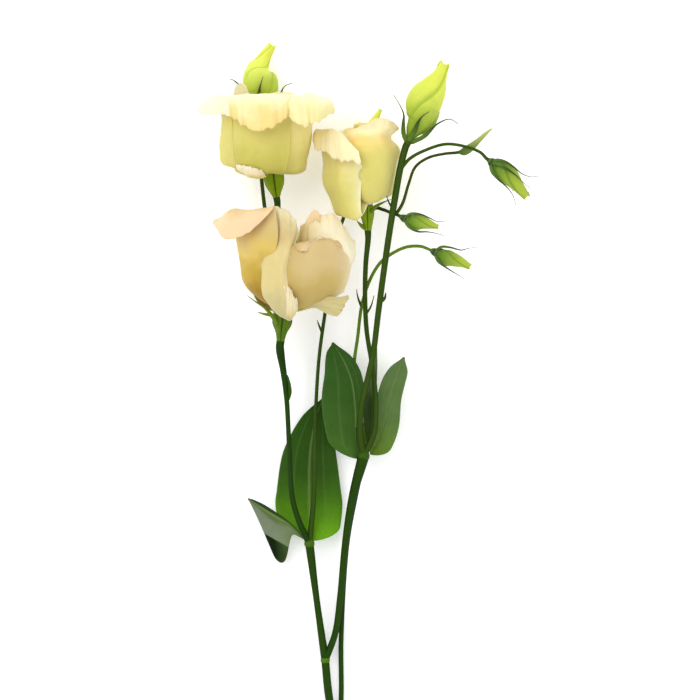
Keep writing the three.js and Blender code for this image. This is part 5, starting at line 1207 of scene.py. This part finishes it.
def overlap(angle, turn):
    """How far a rolled petal stands out at an angle, and how dark the painted shade in its fold under the
    next petal is.
    """
    share = ((angle - turn) * 3 / (2 * math.pi)) % 1
    if share < BUD_STEP:
        return 0.5 - share, 0.0
    if share < 1 - BUD_STEP:
        return 0.5 - share, math.exp(-((1 - BUD_STEP - share) / FURROW_REACH) ** 2)
    climb = (share - 1 + BUD_STEP) / BUD_STEP
    return BUD_STEP - 0.5 + (1 - BUD_STEP) * climb, 1 - climb


def build_bud(name, bud, material):
    """Petals rolled round each other, with the furrows running up in a spiral to a split tip."""
    body = Body()
    spine = bud["spine"]
    steps, sides = BUD_CELLS
    rings = []
    furrow_shades = []
    for i in range(steps + 1):
        u = i / steps
        centre = on_curve(spine, u)
        tangent = heading(spine, u)
        radius = along(bud["radii"], u)
        turn = math.radians(along(bud["twist"], u))
        grown = min(1, BUD_GROWTH * u)
        steepness = BUD_OVERLAP * grown
        rings.append(full_turn(sides, lambda angle: round_about(
            centre, tangent, angle, radius * (1 + steepness * overlap(angle, turn)[0]))))
        # Painted shade along each furrow, darkest in the fold under the next petal
        furrow_shades += full_turn(sides, lambda angle: FURROW_SHADE * (overlap(angle, turn)[1] * grown))
    body.tube(rings)
    body.paint_crease_shade(furrow_shades)
    end = on_curve(spine, 1)
    tangent = heading(spine, 1)
    radius = bud["radii"][-1]
    for angle in (math.pi / 2, 1.5 * math.pi):
        foot = round_about(end, tangent, angle, 0.5 * radius) - tangent * radius
        tip = round_about(end, tangent, angle, 0.8 * radius) + tangent * (0.5 * radius)
        radii = (0.55 * radius, 0.5 * radius, 0.12 * radius)
        body.rod((foot, (foot + tip) / 2, tip), radii, sides=10, steps=8)
    body.keep_above_table()
    body.to_object(name, material)


def facing_away(route, middle):
    """Function that gives the way a sepal's broad side faces: away from its bud's middle, and partly up."""
    def outward(u):
        away = (on_curve(route, u) - middle).normalized()
        return (away + Vector((0, 0, SEPAL_UPTURN if away.z > SEPAL_UNDER else 0))).normalized()
    return outward


def strap(body, route, widths, thickness, outward, steps=20):
    """Flat pointed sepal along a route, with its broad side facing outward."""
    grid = []
    for i in range(steps + 1):
        u = i / steps
        centre = on_curve(route, u)
        side = heading(route, u).cross(outward(u)).normalized()
        half = along(widths, u)
        grid.append([(centre - side * (half * t) + outward(u) * (0.35 * half * (1 - t * t)), u, t)
                     for t in (-1, -0.5, 0, 0.5, 1)])
    body.blade(grid, thickness, taper=0.4)


def build_bud_calyx(name, bud, material):
    """Small knob under a bud, and five long sepals that hug it and flare at their tips."""
    body = Body()
    spine = bud["spine"]
    start = on_curve(spine, 0)
    tangent = heading(spine, 0)
    broad = bud["radii"][0] + 0.9
    body.tube([full_turn(KNOB_SIDES, lambda angle: round_about(
        start + tangent * back, tangent, angle, broad * share * (1 + KNOB_RIBS * math.cos(5 * angle))))
        for back, share in KNOB_SHAPE])
    middle = on_curve(spine, 0.45)
    widths = [(SEPAL_SHARE * max(bud["radii"]) + 0.35) * share for share in SEPAL_WIDTHS]
    for route in bud["sepals"]:
        strap(body, route, widths, SEPAL_THICKNESS, facing_away(route, middle))
    body.keep_above_table()
    body.to_object(name, material)


# Stems and leaves

def seat_of(name):
    """Last places of a stem, so that it meets what it carries head on."""
    if name in BLOOMS:
        place = bloom_place(BLOOMS[name])
        foot = -BLOOM_SEAT - BLOOMS[name]["calyx_depth"] + STEM_SUNK
        return [place(0, 0, foot - 5), place(0, 0, foot)]
    spine = BUDS[name]["spine"] if name in BUDS else YOUNG_BUD["route"]
    back = (BUD_KNOB if name in BUDS else 0) - STEM_SUNK
    start = on_curve(spine, 0)
    tangent = heading(spine, 0)
    return [start - tangent * (back + 2), start - tangent * back]


def ball(body, centre, radius, tone, rings=10, sides=18):
    """Rounded swelling where stems and leaves meet."""
    circles = []
    for i in range(1, rings):
        level = math.pi * i / rings - math.pi / 2
        wide = radius * math.cos(level)
        high = radius * math.sin(level)
        circles.append(full_turn(sides, lambda angle: Vector(centre) + Vector(
            (wide * math.cos(angle), high, -wide * math.sin(angle)))))
    body.tube(circles, tone)


def build_stem(material):
    """All stems, their swellings and their bracts, grown together."""
    body = Body()
    for route, radii, carries in STEMS:
        places = list(route) + (seat_of(carries) if carries else [])
        sides = STEM_SIDES[0] if max(radii) > STOUT else STEM_SIDES[1]
        # The stems carry painted shade on their sides
        body.rod(places, radii, sides, STEM_RINGS * (len(places) - 1), ribs=STEM_RIBS,
                 tone=TWIG_TONES.get(carries, STEM_TONE), side_shade=STEM_SIDE_SHADE)
    for route, radii in BRACTS:
        body.rod(route, radii, sides=8, steps=10)
    for centre, radius, tone in SWELLINGS:
        ball(body, centre, radius, tone)
    body.keep_above_table()
    body.to_object("stem", material)


def build_young_bud(material):
    """Green bud that is still closed in its calyx."""
    body = Body()
    body.rod(YOUNG_BUD["route"], YOUNG_BUD["radii"], sides=20, steps=40, ribs=0.05)
    body.to_object("bud_young", material)


def leaf_point(leaf, u, t):
    """Point of a leaf: u from base to tip, t from its left margin to its right margin."""
    way = Vector(leaf["left_way"] if t < 0 else leaf["right_way"]).normalized()
    rounding = math.sqrt(1 - (1 - min(u / LEAF_BASE, 1)) ** 2)
    reach = along(leaf["left"] if t < 0 else leaf["right"], u) * abs(t) * rounding
    ripples = leaf["wave"] * t * t * math.sin(RIPPLES * u + RIPPLE_STARTS[0 if t < 0 else 1])
    rise = leaf["cup"] * t * t * math.sin(math.pi * min(u * 1.6, 1)) + ripples
    veins = VEIN_HEIGHT * math.cos(4 * math.pi * t) * (1 - abs(t)) * math.sin(math.pi * u)
    keel = -KEEL_DEPTH * math.exp(-(t * KEEL_NARROW) ** 2) * math.sin(math.pi * min(u + 0.15, 1))
    return on_curve(leaf["midrib"], u) + way * reach + Vector((0, 0, rise + veins + keel))


def build_leaf(name, leaf, material, thickness):
    """Leaf blade, with its rows closer together at its round foot."""
    body = Body()
    rows, columns = LEAF_CELLS
    across = [2 * j / columns - 1 for j in range(columns + 1)]
    lengthwise = [(i / rows) ** LEAF_FOOT_ROWS for i in range(rows + 1)]
    body.blade([[(leaf_point(leaf, u, t), u, t) for t in across] for u in lengthwise], thickness, taper=0.3)
    body.to_object(name, material)


# Properties

class LisianthusSizes(bpy.types.PropertyGroup):
    """Sizes that a user may change."""
    petal_thickness: bpy.props.FloatProperty(
        name="Petal Thickness", description="Thickness of a petal at its middle",
        default=0.0005, unit="LENGTH")
    leaf_thickness: bpy.props.FloatProperty(
        name="Leaf Thickness", description="Thickness of a leaf", default=0.0006, unit="LENGTH")
    frill: bpy.props.FloatProperty(
        name="Frill", description="How strongly the petal margins are frilled",
        default=1.0, min=0.0, max=3.0)
    camera_distance: bpy.props.FloatProperty(
        name="Camera Distance", description="Height of the camera above the table",
        default=5.0, unit="LENGTH")


class LisianthusColours(bpy.types.PropertyGroup):
    """Colours that a user may change."""
    stem: bpy.props.FloatVectorProperty(
        name="Stem", description="Deep green of the stems",
        subtype="COLOR", size=4, default=srgb(36, 68, 6))
    stem_light: bpy.props.FloatVectorProperty(
        name="Stem Streaks", description="Lighter streaks of the stems",
        subtype="COLOR", size=4, default=srgb(58, 92, 20))
    leaf: bpy.props.FloatVectorProperty(
        name="Leaf", description="Green of the broad lower leaf",
        subtype="COLOR", size=4, default=srgb(44, 84, 12))
    rib: bpy.props.FloatVectorProperty(
        name="Leaf Ribs", description="Pale green of the midribs and veins",
        subtype="COLOR", size=4, default=srgb(118, 146, 78))
    # The seam colour is the painted shade mixed into the seams of a calyx
    seam: bpy.props.FloatVectorProperty(
        name="Seams", description="Dark green of the seams of a calyx",
        subtype="COLOR", size=4, default=srgb(30, 48, 8))


# Operators

class LISIANTHUS_OT_stem(bpy.types.Operator):
    """Builds the branched stem and the young green bud"""
    bl_idname = "lisianthus.stem"
    bl_label = "Stem"

    def execute(self, context):
        colours = context.scene.lisianthus_colours
        build_stem(stem_material("Stem Green", colours.stem, colours.stem_light))
        build_young_bud(bud_material("Young Bud Green", srgb(78, 104, 26), srgb(132, 152, 66),
                                     srgb(176, 190, 108)))
        return {"FINISHED"}


class LISIANTHUS_OT_leaves(bpy.types.Operator):
    """Builds the five clasping leaves"""
    bl_idname = "lisianthus.leaves"
    bl_label = "Leaves"

    def execute(self, context):
        colours = context.scene.lisianthus_colours
        thickness = context.scene.lisianthus_sizes.leaf_thickness / MM
        greens = {
            "leaf_lower_broad": (colours.leaf, srgb(50, 88, 18), srgb(100, 160, 12)),
            "leaf_lower_folded": (srgb(34, 54, 16), srgb(86, 94, 74), srgb(96, 122, 60)),
            "leaf_upper_left": (srgb(42, 82, 12), srgb(54, 90, 34), srgb(64, 100, 32)),
            "leaf_upper_right": (srgb(84, 112, 50), srgb(98, 126, 76), srgb(92, 124, 34)),
            "leaf_upper_narrow": (srgb(80, 108, 50), srgb(96, 122, 70), srgb(88, 116, 40)),
        }
        fold = {
            "bands": ((0, srgb(34, 50, 22)), (0.47, srgb(34, 50, 22)), (0.5, srgb(90, 114, 54)),
                      (0.55, srgb(80, 100, 52)), (0.6, srgb(118, 130, 106)), (1, srgb(124, 136, 112))),
            "slope": 0.57, "level": -0.1012, "blur": 0.0005, "lobe": srgb(8, 29, 1),
        }
        for name, leaf in LEAVES.items():
            colour, waxy, foot = greens[name]
            material = leaf_material(name.replace("_", " ").title(), colour, colours.rib, waxy, foot,
                                     fold if name == "leaf_lower_folded" else None)
            build_leaf(name, leaf, material, thickness)
        return {"FINISHED"}


class LISIANTHUS_OT_blooms(bpy.types.Operator):
    """Builds the petals of the three open blooms"""
    bl_idname = "lisianthus.blooms"
    bl_label = "Bloom Petals"

    def execute(self, context):
        sizes = context.scene.lisianthus_sizes
        slots = {"bloom_left": "petal_cream", "bloom_front": "petal_blush", "bloom_middle": "petal_ivory"}
        for name, bloom in BLOOMS.items():
            material = petal_material(slots[name].replace("_", " ").title())
            build_petals(name + "_petals", bloom, material, sizes)
        return {"FINISHED"}


class LISIANTHUS_OT_hearts(bpy.types.Operator):
    """Builds the calyx, stamens and pistil of each bloom"""
    bl_idname = "lisianthus.hearts"
    bl_label = "Calyxes, Stamens and Pistils"

    def execute(self, context):
        calyx = stem_material("Calyx Green", srgb(88, 116, 20), srgb(122, 146, 40))
        stamen = stem_material("Stamen Yellow", srgb(216, 170, 52), srgb(240, 206, 96), roughness=0.6)
        pistil = stem_material("Pistil Green", srgb(150, 166, 66), srgb(178, 190, 96), roughness=0.45)
        for name, bloom in BLOOMS.items():
            build_calyx(name + "_calyx", bloom, calyx)
            build_stamens(name + "_stamens", bloom, stamen)
            build_pistil(name + "_pistil", bloom, pistil)
        return {"FINISHED"}


class LISIANTHUS_OT_buds(bpy.types.Operator):
    """Builds the closed buds with their sepals"""
    bl_idname = "lisianthus.buds"
    bl_label = "Buds"

    def execute(self, context):
        sepal = sepal_material("Sepal Green", srgb(84, 118, 34), srgb(44, 70, 16), srgb(120, 134, 104))
        yellow = bud_material("Yellow Bud", srgb(142, 170, 40), srgb(210, 222, 84), srgb(218, 226, 82))
        pale = bud_material("Pale Bud", srgb(160, 184, 50), srgb(228, 238, 106), srgb(222, 230, 84))
        green = bud_material("Green Bud", srgb(88, 124, 24), srgb(140, 168, 40), srgb(172, 192, 60))
        for name, bud in BUDS.items():
            material = {"bud_tall": yellow, "bud_back_left": pale, "bud_hidden": pale}.get(name, green)
            build_bud(name + "_petals", bud, material)
            build_bud_calyx(name + "_calyx", bud, sepal)
        return {"FINISHED"}


class LISIANTHUS_OT_stage(bpy.types.Operator):
    """Lays the pale table, and sets the soft lights and the camera"""
    bl_idname = "lisianthus.stage"
    bl_label = "Table, Lights and Camera"

    def execute(self, context):
        scene = context.scene
        corners = [(x * TABLE_REACH, y * TABLE_REACH, 0) for x, y in ((-1, -1), (1, -1), (1, 1), (-1, 1))]
        mesh = bpy.data.meshes.new("table")
        mesh.from_pydata(corners, [], [(0, 1, 2, 3)])
        mesh.materials.append(table_material())
        table = bpy.data.objects.new("table", mesh)
        scene.collection.objects.link(table)
        for name, place, power in LIGHTS:
            add_area_light(scene, name, place, power)
        world = bpy.data.worlds.new("studio")
        world.use_nodes = True
        background = world.node_tree.nodes["Background"]
        background.inputs["Color"].default_value = (1, 1, 1, 1)
        background.inputs["Strength"].default_value = ROOM_LIGHT
        scene.world = world
        scene.view_settings.view_transform = "Standard"
        add_camera(scene, scene.lisianthus_sizes.camera_distance)
        return {"FINISHED"}


def add_area_light(scene, name, place, power):
    """Round soft light that faces the flower."""
    light = bpy.data.lights.new(name, "AREA")
    light.shape = "DISK"
    light.size = LIGHT_SIZE
    light.energy = power
    lamp = bpy.data.objects.new(name, light)
    lamp.location = place
    lamp.rotation_euler = (Vector(LIGHT_AIM) - Vector(place)).to_track_quat("-Z", "Y").to_euler()
    scene.collection.objects.link(lamp)


def add_camera(scene, distance):
    """Camera straight above, which holds what the picture holds."""
    data = bpy.data.cameras.new("camera")
    width = FRAME_PIXELS * MM_PER_PIXEL * MM
    data.sensor_width = SENSOR_WIDTH
    data.lens = SENSOR_WIDTH * (distance - TRUE_SCALE_HEIGHT) / width
    data.clip_end = FAR_CLIP
    camera = bpy.data.objects.new("camera", data)
    middle = FRAME_PIXELS / 2
    camera.location = ((middle - CENTRE_PIXEL[0]) * MM_PER_PIXEL * MM,
                       (CENTRE_PIXEL[1] - middle) * MM_PER_PIXEL * MM, distance)
    scene.collection.objects.link(camera)
    scene.camera = camera


class LISIANTHUS_PT_panel(bpy.types.Panel):
    """Lists the sizes, the colours and the pieces of the flower"""
    bl_idname = "LISIANTHUS_PT_panel"
    bl_label = "Lisianthus"
    bl_space_type = "VIEW_3D"
    bl_region_type = "UI"
    bl_category = "Lisianthus"

    def draw(self, context):
        for group in (context.scene.lisianthus_sizes, context.scene.lisianthus_colours):
            for key in group.bl_rna.properties.keys():
                if key not in ("rna_type", "name"):
                    self.layout.prop(group, key)
        for operator in OPERATORS:
            self.layout.operator(operator.bl_idname)


OPERATORS = (
    LISIANTHUS_OT_stem,
    LISIANTHUS_OT_leaves,
    LISIANTHUS_OT_blooms,
    LISIANTHUS_OT_hearts,
    LISIANTHUS_OT_buds,
    LISIANTHUS_OT_stage,
)
CLASSES = (LisianthusSizes, LisianthusColours) + OPERATORS + (LISIANTHUS_PT_panel,)


def register():
    """Adds the classes, and the sizes and colours of a scene."""
    for each in CLASSES:
        bpy.utils.register_class(each)
    bpy.types.Scene.lisianthus_sizes = bpy.props.PointerProperty(type=LisianthusSizes)
    bpy.types.Scene.lisianthus_colours = bpy.props.PointerProperty(type=LisianthusColours)


def unregister():
    """Takes away what register added."""
    del bpy.types.Scene.lisianthus_sizes
    del bpy.types.Scene.lisianthus_colours
    for each in reversed(CLASSES):
        bpy.utils.unregister_class(each)


def main():
    """Builds the flower and its stage."""
    register()
    group_mottle()
    group_fine_veins()
    group_ribs()
    bpy.ops.lisianthus.stem()
    bpy.ops.lisianthus.leaves()
    bpy.ops.lisianthus.blooms()
    bpy.ops.lisianthus.hearts()
    bpy.ops.lisianthus.buds()
    bpy.ops.lisianthus.stage()


if __name__ == "__main__":
    main()
